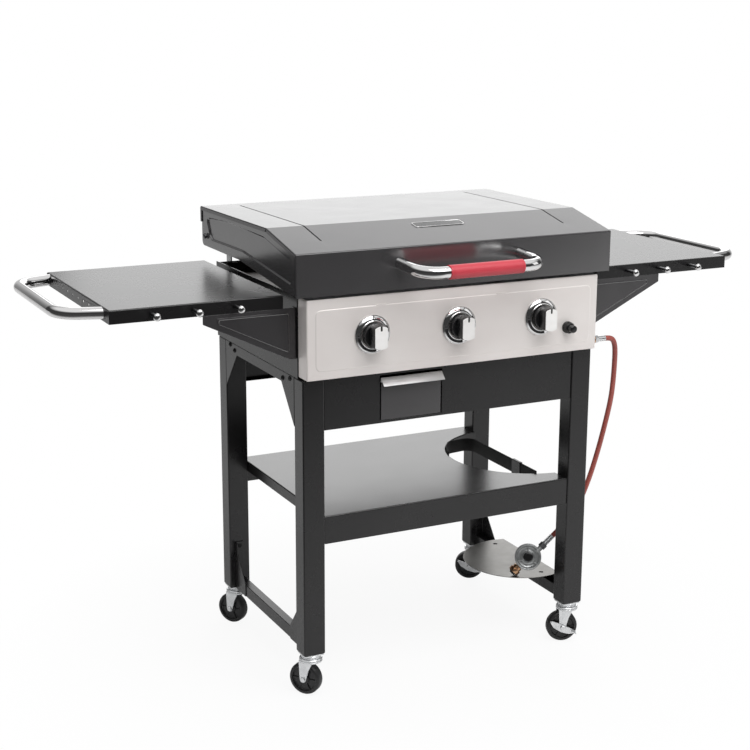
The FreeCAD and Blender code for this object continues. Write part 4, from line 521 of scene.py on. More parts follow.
def arc_at(before, corner, after, radius):
    """Arc that rounds a corner: its centre, its first and last spokes, and half its angle."""
    back, ahead = (before - corner).normalized(), (after - corner).normalized()
    half = (math.pi - back.angle(ahead)) / 2
    centre = corner + (back + ahead).normalized() * (radius / math.cos(half))
    reach = radius * math.tan(half)
    return centre, corner + back * reach - centre, corner + ahead * reach - centre, half


def bent(corners, bend, steps):
    """Points along straight runs that are joined by arcs of one radius."""
    points = [corners[0]]
    for before, corner, after in zip(corners, corners[1:], corners[2:]):
        centre, begin, last, half = arc_at(before, corner, after, bend)
        axis = begin.cross(last).normalized()
        for i in range(steps + 1):
            points.append(centre + Matrix.Rotation(2 * half * i / steps, 3, axis) @ begin)
    return points + [corners[-1]]


def heading(line, i):
    """Direction of a line at one of its points."""
    return (line[min(i + 1, len(line) - 1)] - line[max(i - 1, 0)]).normalized()


def sweep(bm, line, radius, cut, steps=44):
    """Carry a ring along a line and close its ends, which are cut on one plane (point, normal)."""
    point, normal = cut
    side = (line[1] - line[0]).normalized().orthogonal().normalized()
    rings = []
    for i, centre in enumerate(line):
        way = heading(line, i)
        side = (side - way * side.dot(way)).normalized()
        other = way.cross(side)
        ring = [centre + (side * x + other * y) * radius for x, y in circle(steps)]
        if i in (0, len(line) - 1):
            ring = [near + way * ((point - near).dot(normal) / way.dot(normal)) for near in ring]
        rings.append([bm.verts.new(co) for co in ring])
    joined(bm, rings)
    bm.faces.new(rings[0])
    bm.faces.new(rings[-1])


def plate(bm, outline, where, low, high):
    """Closed plate from an outline at two levels; the function where gives the points."""
    loops = [[bm.verts.new(where(*point, level)) for point in outline] for level in (low, high)]
    for loop in loops:
        bm.faces.new(loop)
    joined(bm, loops)


# %% Flat outlines
def rect(x0, x1, y0, y1):
    """Corners of a rectangle."""
    return [(x0, y0), (x1, y0), (x1, y1), (x0, y1)]


def eased(points, radii, steps=5):
    """Round the corners of a closed flat outline; radii is one number or one for each corner."""
    corners = [Vector(point) for point in points]
    done = []
    for i, corner in enumerate(corners):
        radius = radii[i] if isinstance(radii, list) else radii
        centre, begin, last, half = arc_at(corners[i - 1], corner, corners[(i + 1) % len(corners)], radius)
        if radius <= 0 or half < 0.02:
            done.append(tuple(corner))
            continue
        sense = 1 if begin.x * last.y > begin.y * last.x else -1
        for k in range(steps + 1):
            done.append(tuple(centre + Matrix.Rotation(sense * 2 * half * k / steps, 2) @ begin))
    return done


print("mesh tools are ready")

# %% [markdown]
# ## Softened copies of the CAD parts
#
# Folded sheet and rectangular tube never have razor edges: each bend has a radius and each cut edge is
# slightly broken, and these catch a thin line of light. Many parts here already have the right shape, so a
# merged copy with rounded edges is enough. The rounding is stored for each edge, because a 1.2 mm sheet
# edge can take far less of it than the bend beside it. The ends of the side shelves also get a row of small
# round holes, which a Boolean bores before the edges are rounded.

# %% Rounded copies
CAD_WELD = 8e-6
ROUNDED_SHARE = 0.42


def room(edge):
    """How far the faces beside an edge, and the edges that meet it, let it be rounded."""
    ends = edge.verts
    way = (ends[1].co - ends[0].co).normalized()
    length = edge.calc_length()
    free = 1.0
    for vert in ends:
        for other in vert.link_edges:
            lean = (other.other_vert(vert).co - vert.co).normalized()
            if other != edge and abs(lean.dot(way)) < 0.8:
                free = min(free, other.calc_length())
    middle = (ends[0].co + ends[1].co) / 2
    for face in edge.link_faces:
        for other in face.edges:
            if other == edge or set(other.verts) & set(ends):
                continue
            first, second = (vert.co for vert in other.verts)
            run = second - first
            share = max(0.0, min(1.0, (middle - first).dot(run) / run.length_squared))
            for near in (first, second, first + run * share):
                along = (near - ends[0].co).dot(way)
                if -0.02 * length <= along <= 1.02 * length:
                    free = min(free, (near - ends[0].co - way * along).length)
    return free


def plain(made):
    """Plain mesh data of an object with its modifiers applied."""
    return bpy.data.meshes.new_from_object(made.evaluated_get(bpy.context.evaluated_depsgraph_get()))


def pierced(mesh, places, radius):
    """Plain mesh data with round holes bored along X at the given points."""
    tool = bmesh.new()
    across = Matrix.Rotation(math.pi / 2, 4, "Y")
    for place in places:
        bmesh.ops.create_cone(tool, cap_ends=True, segments=20, radius1=radius * MM, radius2=radius * MM,
                              depth=8 * MM, matrix=Matrix.Translation(place) @ across)
    bore = bpy.data.objects.new("bore", bpy.data.meshes.new("bore"))
    tool.to_mesh(bore.data)
    tool.free()
    work = bpy.data.objects.new("work", mesh)
    scene.collection.objects.link(bore)
    scene.collection.objects.link(work)
    modify(work, "cut", "BOOLEAN", object=bore)
    done = plain(work)
    bpy.data.objects.remove(work)
    bpy.data.objects.remove(bore)
    return done


def softened(name, width, look, holes=()):
    """Rounded copy of a CAD part, riding on the same body and standing for it."""
    part = frame["nodes"][name]
    bm = bmesh.new()
    bm.from_mesh(part.data)
    if holes:
        bmesh.ops.remove_doubles(bm, verts=bm.verts, dist=CAD_WELD)
        whole = bpy.data.meshes.new(name + "_whole")
        bm.to_mesh(whole)
        bm.clear()
        bm.from_mesh(pierced(whole, holes, HOLE_RADIUS))
    bmesh.ops.remove_doubles(bm, verts=bm.verts, dist=CAD_WELD)
    bmesh.ops.dissolve_limit(bm, angle_limit=math.radians(0.6), verts=bm.verts, edges=bm.edges)
    weights = bm.edges.layers.float.new("bevel_weight_edge")
    for edge in bm.edges:
        if len(edge.link_faces) == 2 and edge.calc_face_angle(0) > SHARP:
            edge[weights] = min(1.0, ROUNDED_SHARE * room(edge) / (width * MM))
    made = piece("soft_" + name, bm, look, body_of(part)[0], (name,), outward=False, weld=1e-7)
    modify(made, "rounded", "BEVEL", width=width * MM, segments=2, limit_method="WEIGHT",
           use_clamp_overlap=False, harden_normals=True)
    return made


def two_finishes(made, second, wanted):
    """Give a piece a second finish on the faces whose normal is wanted."""
    made.data.materials.append(second)
    for face in made.data.polygons:
        face.material_index = 1 if wanted(face.normal) else 0


SOFTENED = [
    ("black_steel", black_paint, 3.0, ["leg_front_left", "leg_front_right", "leg_rear_left", "leg_rear_right",
                                       "lower_shelf"]),
    ("black_steel", black_paint, 1.6, ["upper_rails", "lower_rails", "lower_rail_brackets", "rear_apron",
                                       "front_apron", "firebox"]),
    ("black_steel", lid_paint, 1.6, ["shelf_brackets", "grease_tray"]),
    ("stainless", plate_zinc, 0.8, ["tank_plate"]),
    ("stainless", pale_sheet, 0.8, ["burners"]),
    ("zinc", pale_sheet, 0.8, ["drawer_pull"]),
    ("zinc", cast_grey, 0.8, ["hinge_brackets"]),
    ("griddle_iron", seasoned_steel, 2.0, ["griddle_plate"]),
    ("brass", coppery_brass, 0.8, ["gas_manifold", "valve_stem_left", "valve_stem_centre",
                                   "valve_stem_right"]),
]
SHELF_END, SHELF_Z = 749.4, 877
HOLE_RADIUS, HOLE_Y = 2.6, (124, 84, 45, 6, -34, -72)
SIDES = (("left", -1), ("right", 1))
for slot, look, width, names in SOFTENED:
    for name in names:
        softened(name, width, look)
two_finishes(bpy.data.objects["soft_lower_shelf"], deck_paint, lambda normal: normal.z > 0.9)
for side, sign in SIDES:
    softened("side_shelf_" + side, 3.0, black_paint,
             [at(sign * SHELF_END, y, SHELF_Z) for y in HOLE_Y])
print("softened:", sum(len(row[3]) for row in SOFTENED) + 2)

# %% [markdown]
# ## Two Geometry Nodes tools
#
# Bolts and hooks repeat one shape at many places, each facing its own way. Ribs repeat one bar round an
# axis, as on a nut, a hub or the scale of a knob ring. Copying objects by hand would work, but a node tree
# keeps one source shape and its sizes as inputs. Both trees end in real faces and a finish.

# %% Node trees for stamps and rib rings
def new_tree(name, inputs):
    """Geometry Nodes tree with named inputs; returns it with its group nodes."""
    tree = bpy.data.node_groups.new(name, "GeometryNodeTree")
    tree.interface.new_socket("Geometry", in_out="INPUT", socket_type="NodeSocketGeometry")
    for label, kind in inputs:
        tree.interface.new_socket(label, in_out="INPUT", socket_type="NodeSocket" + kind)
    tree.interface.new_socket("Geometry", in_out="OUTPUT", socket_type="NodeSocketGeometry")
    return tree, tree.nodes.new("NodeGroupInput").outputs, tree.nodes.new("NodeGroupOutput").inputs


def put(tree, kind, sockets=None, **settings):
    """Add a geometry node and return its outputs."""
    return add(tree, "GeometryNode" + kind, sockets, **settings).outputs


def aimed(tree, way, **settings):
    """Rotation that turns an axis towards a way."""
    return add(tree, "FunctionNodeAlignRotationToVector", {"Vector": way}, **settings).outputs["Rotation"]


def end_tree(tree, given, result, points, shape, rotation, **more):
    """End a tree: a copy of a shape on each point, made real and given the finish."""
    copies = put(tree, "InstanceOnPoints", {"Points": points, "Instance": shape, "Rotation": rotation, **more})
    real = put(tree, "RealizeInstances", {"Geometry": copies["Instances"]})
    dressed = put(tree, "SetMaterial", {"Geometry": real["Geometry"], "Material": given["Finish"]})
    tree.links.new(dressed["Geometry"], result["Geometry"])


stamp_tree, given, result = new_tree("stamps", [("Stamp", "Object"), ("Size", "Float"), ("Finish", "Material")])
aim = put(stamp_tree, "InputNamedAttribute", {"Name": "aim"}, data_type="FLOAT_VECTOR")
dots = put(stamp_tree, "MeshToPoints", {"Mesh": given["Geometry"]})
shape = put(stamp_tree, "ObjectInfo", {"Object": given["Stamp"]})
end_tree(stamp_tree, given, result, dots["Points"], shape["Geometry"],
         aimed(stamp_tree, aim["Attribute"], axis="Z"), Scale=given["Size"])

rib_tree, given, result = new_tree("rib_ring", [("Radius", "Float"), ("Start", "Float"), ("Sweep", "Float"),
                                                ("Count", "Int"), ("Rib", "Vector"), ("Finish", "Material")])
arc = put(rib_tree, "CurveArc", {"Radius": given["Radius"], "Start Angle": given["Start"],
                                 "Sweep Angle": given["Sweep"], "Resolution": 96})
dots = put(rib_tree, "CurveToPoints", {"Curve": arc["Curve"], "Count": given["Count"]}, mode="COUNT")
here = put(rib_tree, "InputPosition")
bar = put(rib_tree, "MeshCube", {"Size": given["Rib"]})
end_tree(rib_tree, given, result, dots["Points"], bar["Mesh"],
         aimed(rib_tree, here["Position"], axis="X", pivot_axis="Z"))


# %% Stamps and rings of ribs
def grown(name, carrier_mesh, tree, values):
    """Run a tree on a mesh with inputs set by their identifiers; returns plain mesh data."""
    carrier = bpy.data.objects.new(name, carrier_mesh)
    scene.collection.objects.link(carrier)
    step = modify(carrier, "tree", "NODES", node_group=tree)
    named = {item.name: item.identifier for item in tree.interface.items_tree if item.in_out == "INPUT"}
    for label, value in values.items():
        step[named[label]] = value
    mesh = plain(carrier)
    bpy.data.objects.remove(carrier)
    mesh.name = name
    return mesh


def stamped(name, places, profile, look, body, stands_for=(), steps=24):
    """Repeat one turned shape at (point, direction) places."""
    stamp = turned(name + "_stamp", profile, [Matrix.Scale(MM, 4)], look, body, (), steps)
    dots = bpy.data.meshes.new(name + "_dots")
    dots.from_pydata([tuple(point) for point, _ in places], [], [])
    aims = dots.attributes.new("aim", "FLOAT_VECTOR", "POINT")
    for i, (_, way) in enumerate(places):
        aims.data[i].vector = way
    mesh = grown(name, dots, stamp_tree, {"Stamp": stamp, "Size": 1.0, "Finish": look})
    bpy.data.objects.remove(stamp)
    return settled(name, mesh, body, stands_for)


def ribs(name, places, radius, start, sweep_by, count, rib, look, body):
    """Repeat a bar round an axis, at one or more places given as matrices in millimetres."""
    bm = bmesh.new()
    for place in places:
        mesh = grown(name, bpy.data.meshes.new(name), rib_tree,
                     {"Radius": float(radius), "Start": math.radians(start), "Sweep": math.radians(sweep_by),
                      "Count": count, "Rib": rib, "Finish": look})
        mesh.transform(place)
        bm.from_mesh(mesh)
    return piece(name, bm, look, body)


print("trees:", [tree.name for tree in bpy.data.node_groups])

# %% [markdown]
# ## Lid shell
#
# The lid is one sheet folded four times: a rear flange, a long flat top, a front slope and a short front
# face. Its sides are folded 9 mm down over the end caps, with a small notch where the strip crosses the
# ridge, and two shallow grooves run over the top. A grid of folded cross-sections gives true bend radii, so
# the light breaks over each fold as on real sheet, and Solidify gives the sheet its thickness. The front
# face mirrors the grip more strongly than the top, so it has the glossier of the two lid paints.

# %% Folded profile of the lid
RIDGE, BROW = Vector((-112, 1014)), Vector((-266, 981.5))
RIDGE_BEND = 18
LID_FOLDS = [((282, 975.5), 0), ((282, 1011), 5), (RIDGE, RIDGE_BEND), (BROW, 3.5), ((-266, 892), 0)]
LID_SIDE, SIDE_BEND = 380, 2.2
GROOVE_FROM, GROOVE_TO = 241, -199
EXTRA_STATIONS = {1: [(245, 1011.28), (241, 1011.31), (-106, 1013.95)],
                  2: [(-118, 1012.73), (-199, 995.64), (-203, 994.80)]}


def lid_stations():
    """Points along the folded profile: place, outward normal, bend radius, centre and inward bisector."""
    corners = [Vector(corner) for corner, _ in LID_FOLDS]
    stations = []
    for i, (corner, (_, bend)) in enumerate(zip(corners, LID_FOLDS)):
        if bend:
            centre, begin, _, half = arc_at(corners[i - 1], corner, corners[i + 1], bend)
            for k in range(7):
                way = Matrix.Rotation(2 * half * k / 6, 2) @ begin
                stations.append((centre + way, way.normalized(), bend, centre, (centre - corner) / bend))
        else:
            near = corners[1] - corners[0] if i == 0 else corners[-1] - corners[-2]
            normal = Vector((near.y, -near.x)).normalized()
            stations.append((corner, normal, 0, corner, normal * -1))
        for extra in EXTRA_STATIONS.get(i, []):
            run = (corners[i + 1] - corner).normalized()
            normal = Vector((run.y, -run.x))
            stations.append((Vector(extra), normal, 0, Vector(extra), normal * -1))
    return stations


def sunk(station, depth):
    """Where a station lies when it is set back from the sheet's outside."""
    place, normal, bend, centre, inward = station
    if bend and depth > bend:
        return centre + inward * (depth - bend)
    return place - normal * depth


def lid_columns(station):
    """(x, depth) across the lid at one station: strip, side bend, groove, middle, and the same mirrored."""
    place, _, bend, _, _ = station
    strip = 3.0 if bend == RIDGE_BEND else 9.0
    groove = 1.0 if GROOVE_TO - 0.5 < place.x < GROOVE_FROM + 0.5 else 0.0
    half = [(LID_SIDE, strip), (LID_SIDE, SIDE_BEND)]
    for x, y in (polar(SIDE_BEND, angle) for angle in (22, 45, 67, 90)):
        half.append((LID_SIDE - SIDE_BEND + x, SIDE_BEND - y))
    half += [(340, 0), (297, 0), (296.6, groove * 0.4), (295.9, groove * 1.9), (294.1, groove * 1.9),
             (293.4, groove * 0.4), (293, 0), (200, 0), (90, 0)]
    return [(-x, depth) for x, depth in half] + [(0, 0)] + half[::-1]


def facing_out(bm, way):
    """Turn an open skin so that its largest face looks along a direction."""
    bmesh.ops.recalc_face_normals(bm, faces=bm.faces)
    bm.normal_update()
    if max(bm.faces, key=lambda face: face.calc_area()).normal.dot(Vector(way)) < 0:
        bmesh.ops.reverse_faces(bm, faces=bm.faces)


# %% Lid shell
bm = bmesh.new()
rows = [[bm.verts.new(at(x, *sunk(station, depth))) for x, depth in lid_columns(station)]
        for station in lid_stations()]
for low, high in zip(rows, rows[1:]):
    for i in range(len(low) - 1):
        bm.faces.new((low[i], low[i + 1], high[i + 1], high[i]))
bmesh.ops.remove_doubles(bm, verts=bm.verts, dist=1e-6)
facing_out(bm, (0, 0, 1))
lid = piece("lid_sheet", bm, lid_paint, "lid", ("lid_shell",), outward=False)
two_finishes(lid, lid_gloss, lambda normal: normal.y < -0.99)
walled(lid, 1.2)
print("lid shell faces:", len(lid.data.polygons))

# %% [markdown]
# ## Embossed plates
#
# The lid's end caps and the control panel are pressed: a flat border, a short sloping wall and a flat
# field, which is sunk in the caps and raised on the panel. Loops of one outline, each a little further in
# and deeper or higher, make the wall, and the flat areas between loops are filled. A solid block would
# have no such soft edge. Weighted normals keep the flat areas flat.

# %% Outlines that step in and out
def inset(points, by):
    """Move a closed outline inwards by a distance, whichever way round it runs."""
    count = len(points)
    area = sum(points[i][0] * points[(i + 1) % count][1] - points[(i + 1) % count][0] * points[i][1]
               for i in range(count))
    side = 1 if area > 0 else -1
    moved = []
    for i, point in enumerate(points):
        here = Vector(point)
        back = (here - Vector(points[i - 1])).normalized()
        ahead = (Vector(points[(i + 1) % count]) - here).normalized()
        normal = Vector((-(back + ahead).y, (back + ahead).x)).normalized() * side
        moved.append(tuple(here + normal * by / max(0.3, normal.dot(Vector((-ahead.y, ahead.x)) * side))))
    return moved


def stepped(bm, outline, levels, where):
    """Loops of one outline at (inset, height) levels, joined by walls; returns the loops."""
    loops = [[bm.verts.new(where(*point, height)) for point in (inset(outline, by) if by else outline)]
             for by, height in levels]
    joined(bm, loops)
    return loops


def filled(bm, loops, normal):
    """Fill the flat area between loops, the first one outside and the others as holes."""
    verts = [vert for loop in loops for vert in loop]
    for corners in tessellate_polygon([[vert.co / MM for vert in loop] for loop in loops]):
        face = bm.faces.new([verts[i] for i in corners])
        face.normal_update()
        if face.normal.dot(Vector(normal)) < 0:
            face.normal_flip()


def raised(bm, outline, levels, where, normal=FRONT):
    """Closed shape from stepped loops, with the first and the last filled."""
    loops = stepped(bm, outline, levels, where)
    for loop in (loops[0], loops[-1]):
        filled(bm, [loop], normal)


def hole(bm, across, up, radius, where, height, steps=32):
    """Loop of points on a circle, used as a hole in a flat area."""
    return [bm.verts.new(where(across + radius * x, up + radius * y, height)) for x, y in circle(steps)]


# %% Lid end caps
HINGE = (248.7, 945.5)
CAP_FACE = 377.9
CAP_OUTLINE = eased([(276, 922), (276, 1009.8), (-112, 1012.8), (-264.8, 980.3), (-264.8, 891), (50, 922)],
                    [12, 0, 0, 0, 0, 0])
CAP_FIELD = eased([(246, 990), (109, 998), (-93, 994), (-232, 966), (-238, 913.5), (28, 942), (214, 940),
                   (230, 949), (234, 960.3), (243, 975.4)], [10, 60, 30, 12, 9, 40, 14, 8, 20, 10], 6)
for side, sign in SIDES:
    def on_cap(y, z, out):
        """Point on an end cap, out from its face."""
        return at(sign * (CAP_FACE + out), y, z)

    bm = bmesh.new()
    outer = stepped(bm, CAP_OUTLINE, [(0, 0)], on_cap)[0]
    field = stepped(bm, CAP_FIELD, [(0, 0), (0.6, -0.3), (3.2, -3.1), (4.0, -3.4)], on_cap)
    filled(bm, [outer, field[0], hole(bm, *HINGE, 4.05, on_cap, 0, 20)], (sign, 0, 0))
    filled(bm, [field[-1]], (sign, 0, 0))
    facing_out(bm, (sign, 0, 0))
    walled(piece("lid_cap_" + side, bm, lid_gloss, "lid", ("lid_end_caps",), outward=False), 1.8)
print("end caps: outline", len(CAP_OUTLINE), "field", len(CAP_FIELD))

# %% [markdown]
# ## Control panel
#
# The panel is brushed sheet folded back on four sides, with a raised field whose corners are rounded to
# 13 mm. The light slides along the field's thin sloping border. The knob stems and the igniter pass through
# round holes, and two small dimples sit on the top border line. A black strip on the panel's top edge is
# painted shade: it makes the dark line of the shaded gap under the lid.

# %% Control panel
KNOBS = {"left": -206, "centre": 0, "right": 206}
KNOB_Z = 802
IGNITER_X, IGNITER_Z = 276, 772
PANEL_Y, PANEL_TOP = -259.5, 885


def on_panel(x, z, out):
    """Point on the control panel, out from its flat border."""
    return at(x, PANEL_Y - out, z)


bm = bmesh.new()
folds = stepped(bm, eased(rect(-354, 354, 715, PANEL_TOP), 3.4, 4),
                [(0, -42.5), (0, -3.2), (0.25, -1.9), (0.95, -0.75), (2.0, -0.15), (3.2, 0)], on_panel)
field = stepped(bm, eased(rect(-335, 336, 733, 863), 13, 8), [(0, 0), (0.6, 0.15), (1.7, 0.85), (2.4, 1.0)],
                on_panel)
filled(bm, [folds[-1], field[0]], FRONT)
stem_holes = [hole(bm, x, KNOB_Z, 6, on_panel, 1.0) for x in KNOBS.values()]
filled(bm, [field[-1], *stem_holes, hole(bm, IGNITER_X, IGNITER_Z, 11.05, on_panel, 1.0)], FRONT)
facing_out(bm, FRONT)
panel = walled(piece("panel_sheet", bm, brushed_steel, "base", ("control_panel",), outward=False),
               1.2)

bm = bmesh.new()
for x in (-185, 104):
    raised(bm, eased(rect(x - 12, x + 12, 861, 864.4), 1.6), [(0, 0), (0.2, 1.0), (0.9, 1.2)], on_panel)
piece("panel_dimples", bm, brushed_steel, "base")

# Painted shade: a black strip that stands for the shade in the gap under the lid.
bm = bmesh.new()
plate(bm, rect(-352, 352, -258.6, -217.5), at, PANEL_TOP, PANEL_TOP + 0.7)
piece("panel_top_strip", bm, seal_rubber, "base")
print("panel faces:", len(panel.data.polygons))

# %% [markdown]
# ## Beads on the shelf webs, and sheets beside the drawer
#
# The flat webs under the side shelves are stiffened by a pressed bead that follows their outline. It shows
# as a thin bright line, so a low ridge is laid on each web. Behind the front apron, a thin sheet on each
# side of the drawer closes the view past its runners.

# %% Web beads and drawer sheets
BEAD = [(0, -0.1), (0.3, 0.7), (1.2, 1.0), (2.1, 0.7), (2.4, -0.1), (0, -0.1)]
bm = bmesh.new()
for _, sign in SIDES:
    for face_y, way in ((-210.8, -1), (250.8, 1)):
        line = eased([(sign * 372, 852), (sign * 526, 852), (sign * 526, 842), (sign * 372, 768)], 4)
        stepped(bm, line, BEAD, lambda x, z, out: at(x, face_y + way * out, z))
piece("web_beads", bm, lid_gloss, "base")
bm = bmesh.new()
for x0, x1 in ((-178, -176.8), (-25.2, -24)):
    plate(bm, rect(-236, -21, 641, 710), lambda y, z, x: at(x, y, z), x0, x1)
piece("drawer_sheets", bm, black_paint, "base")
print("beads and sheets are in")

# %% [markdown]
# ## Chrome handles and the red grip
#
# The lid handle is a chromed tube: straight legs run out of the lid's face, and two wide bends lead to the
# middle, which carries a red sleeve. The two end handles are wider loops on the outer skirts. A ring carried
# along the bend line keeps the tube round through the bends, and its ends are cut flush with the sheet.

# %% Bent tubes
GRIP_Y, GRIP_Z = -369, 941
FOOT_Y, FOOT_Z = -266, 947


def bent_bar(name, corners, bend, radius, wall, body, node):
    """Chromed tube through drawing points, with its ends cut on a wall given as (point, normal)."""
    bm = bmesh.new()
    sweep(bm, bent([at(*corner) for corner in corners], bend * MM, 20), radius * MM,
          (at(*wall[0]), Vector(wall[1])))
    piece(name, bm, chrome, body, (node,))


bent_bar("lid_bar", [(-145, FOOT_Y, FOOT_Z), (-142, GRIP_Y, GRIP_Z), (142, GRIP_Y, GRIP_Z),
                     (145, FOOT_Y, FOOT_Z)],
         46, 12.7, ((0, FOOT_Y + 0.1, FOOT_Z), (0, 1, 0)), "lid", "lid_handle")
END_LOOP = [(750, -163), (831.4, -136.1), (831.4, 200.1), (750, 227)]
for side, sign in SIDES:
    bent_bar("end_bar_" + side, [(sign * x, y, SHELF_Z) for x, y in END_LOOP], 58.4, 12.25,
             ((sign * 749.9, 0, SHELF_Z), (1, 0, 0)), "base", "end_handles")

HALF_GRIP = [(12.8, -87.5), (14.0, -87.5), (14.6, -87.0), (14.75, -86.0), (14.75, -82.6), (14.3, -82.3),
             (14.3, -81.7), (14.75, -81.4)]
turned("red_sleeve", both_ways(HALF_GRIP), [spot(0, GRIP_Y, GRIP_Z, (1, 0, 0))], grip_red, "lid",
       ("lid_grip",), 56)
print("tubes and grip are made")

# %% [markdown]
# ## Bare badge plate
#
# A small plate sits on the front slope of the lid. It is left bare: a dark pressed field inside a bright
# rolled rim. The rim and the field are two pieces, because they have different finishes.

# %% Badge plate
SLOPE_WAY = Vector((0, *(RIDGE - BROW))).normalized()
SLOPE_UP = Vector((0, -SLOPE_WAY.z, SLOPE_WAY.y))
BADGE_X, BADGE_BELOW_RIDGE = 4, 42.9


def on_slope(x, along, out):
    """Point on the badge plate, out from the lid's front slope."""
    return at(BADGE_X + x, *RIDGE) + (SLOPE_WAY * (along - BADGE_BELOW_RIDGE) + SLOPE_UP * out) * MM


BADGE = eased(rect(-60, 60, -14, 14), 7, 6)
bm = bmesh.new()
stepped(bm, BADGE, [(1.5, 0), (0, 0), (0, 0.9), (0.3, 1.35), (0.9, 1.5), (1.7, 1.35), (2.1, 0.9), (2.2, 0.5)],
        on_slope)
piece("badge_rim", bm, chrome, "lid", ("lid_badge",))
bm = bmesh.new()
raised(bm, inset(BADGE, 2.1), [(0, 0.2), (0, 0.75), (0.8, 0.8)], on_slope, SLOPE_UP)
piece("badge_field", bm, knob_black, "lid")
print("badge plate is bare")

# %% [markdown]
# ## Tool hooks and frame bolts
#
# Six mushroom hooks stand on the front skirts, three on each side, and domed screws hold the rails and the
# brackets. Both are turned once and stamped by the node tree at their places, each facing its own way.

# %% Hooks and bolts
STEM = rod(4, -1, 34.5)
HEAD = [(0, 34), (4.2, 34), (4.6, 35.6), (5.8, 36.9), (7.6, 37.8), (8, 39.0), (7.6, 41.0), (6.5, 42.8),
        (4.7, 44.1), (2.4, 44.8), (0, 45)]
HOOKS = [(at(x, -210, SHELF_Z), FRONT) for x in (-490, -577.5, -665, 465, 552.5, 640)]
stamped("hook_heads", HOOKS, HEAD, chrome, "base", ("tool_hooks",), 32)
# Painted shade: the stems are chrome like the heads, and their dark steel finish stands for the shade they sit
# in.
stamped("hook_stems", HOOKS, STEM, dark_nut_steel, "base")

BOLT = [(0, -0.5), (5.5, -0.5), (5.5, 0.7), (5.2, 0.9), (4.7, 1.0), (4.5, 2.0), (3.6, 2.7), (2.2, 3.0),
        (2.0, 1.6), (0, 1.6)]
bolt_places = []
for _, sign in SIDES:
    for y, z in ((167, 706), (141, 697), (-175, 704), (-137.5, 697)):
        bolt_places.append((at(sign * 356, y, z), (sign, 0, 0)))
    for fore in (-1, 1):
        bolt_places.append((at(sign * LEG_X, fore * 194, 204.4), (0, -fore, 0)))
stamped("domed_bolts", bolt_places, BOLT, seal_rubber, "base", ("frame_bolts",), 18)
print("hooks:", len(HOOKS), "bolts:", len(bolt_places))

# %% [markdown]
# ## Knob rings, knobs and igniter
#
# Each knob turns inside a chromed ring with a sloping face, a bright inner lip and a ribbed dark scale on
# its lower left. The knob is a dished black disc with a tall grip bar, and the bar carries a pale front
# plate with a dark pointer slot. The plate is left bare. The igniter is a ribbed sleeve round a push button.

# %% Knob rings
FIELD_Y = -260.5
RING = [(28.5, 0), (41, 0), (41, 1.8), (40.6, 2.7), (39.9, 3.0), (39.2, 2.9), (38.4, 3.6), (37.0, 4.7),
        (34.0, 6.4), (31.4, 7.5), (30.6, 7.4), (30.0, 8.0), (29.3, 8.4), (28.7, 8.1), (28.5, 7.5), (28.5, 0)]
turned("knob_rings", RING, [spot(x, FIELD_Y, KNOB_Z, FRONT) for x in KNOBS.values()], chrome, "base",
       ("knob_bezels",), 96)
ring_faces = [spot(x, FIELD_Y - 6.1, KNOB_Z, FRONT) for x in KNOBS.values()]
ribs("ring_scale", ring_faces, 33.9, 190, 88, 17, (5.4, 2.6, 3.1), knob_black, "base")
ribs("ring_marks", ring_faces, 34.4, 90, 90, 2, (3.6, 1.2, 2.6), knob_black, "base")

# %% Knobs
DISC = [(0, 13.7), (4.05, 13.7), (4.05, 0), (24.8, 0), (25.7, 0.5), (26, 1.6), (26, 15.2), (25.7, 16.2),
        (24.9, 16.9), (23.6, 17.0), (19.0, 14.6), (12, 13.9), (0, 13.9)]
BAR_HALF_WIDTH, BAR_SHOULDER = 15.8, 20.6
KNOB_RADIUS = 26
arc = [polar(KNOB_RADIUS, angle) for angle in range(60, 121, 6)]
half_bar = [(BAR_HALF_WIDTH, -BAR_SHOULDER), (BAR_HALF_WIDTH, BAR_SHOULDER)] + arc
BAR = eased(half_bar + [(-x, -y) for x, y in half_bar], ([2.5, 2.5] + [0] * len(arc)) * 2, 4)

# The front plate follows the bar, and its top is cut through by the pointer slot.
plate_line = inset([p for p in BAR if abs(p[0]) > 2.6 or p[1] < 0], 1.4)
slot_from = plate_line.index(min((p for p in plate_line if p[0] > 0 and p[1] > 0), key=lambda p: p[0]))
edge_y = plate_line[slot_from][1]
SLOT = [(2.2, edge_y), (2.2, 15.4), (1.4, 14.4), (-1.4, 14.4), (-2.2, 15.4), (-2.2, edge_y)]
FRONT_PLATE = plate_line[:slot_from + 1] + SLOT + plate_line[slot_from + 1:]
for name, x in KNOBS.items():
    front = spot(x, -265.0, KNOB_Z, FRONT)
    body = "knob_" + name + "_body"
    bm = bmesh.new()
    turn(bm, DISC, front, 72)
    raised(bm, BAR, [(0, 12), (0.3, 26), (0.9, 37.4), (1.3, 38.4), (2.0, 38.8)], face_of(front))
    piece("knob_grip_" + name, bm, knob_black, body, ("knob_" + name,))
    bm = bmesh.new()
    raised(bm, FRONT_PLATE, [(0, 38.5), (0, 39.2), (0.25, 39.5)], face_of(front))
    piece("knob_face_" + name, bm, knob_silver, body)

# %% Igniter
SLEEVE = [(8.65, -26), (11, -26), (11, 0), (13.3, 0), (13.3, 3.6), (12.7, 4.8), (11.6, 5.4), (11.4, 13.5),
          (10.8, 15.2), (9.6, 15.8), (8.65, 15.4), (8.65, -26)]
BUTTON = [(0, -10), (8.5, -10), (8.5, 25.4), (8.1, 27.6), (6.8, 28.9), (4.5, 29.4), (0, 29.5)]
igniter = spot(IGNITER_X, FIELD_Y, IGNITER_Z, FRONT)
turned("igniter_sleeve", SLEEVE, [igniter], knob_black, "base", ("igniter_housing",))
ribs("igniter_ribs", [igniter @ Matrix.Translation((0, 0, 9.4))], 11.6, 0, 345, 24, (1.6, 1.3, 7.6),
     knob_black, "base")
turned("igniter_push_button", BUTTON, [igniter], knob_black, "igniter",
       ("igniter_button",), 40)
print("knobs:", list(KNOBS))

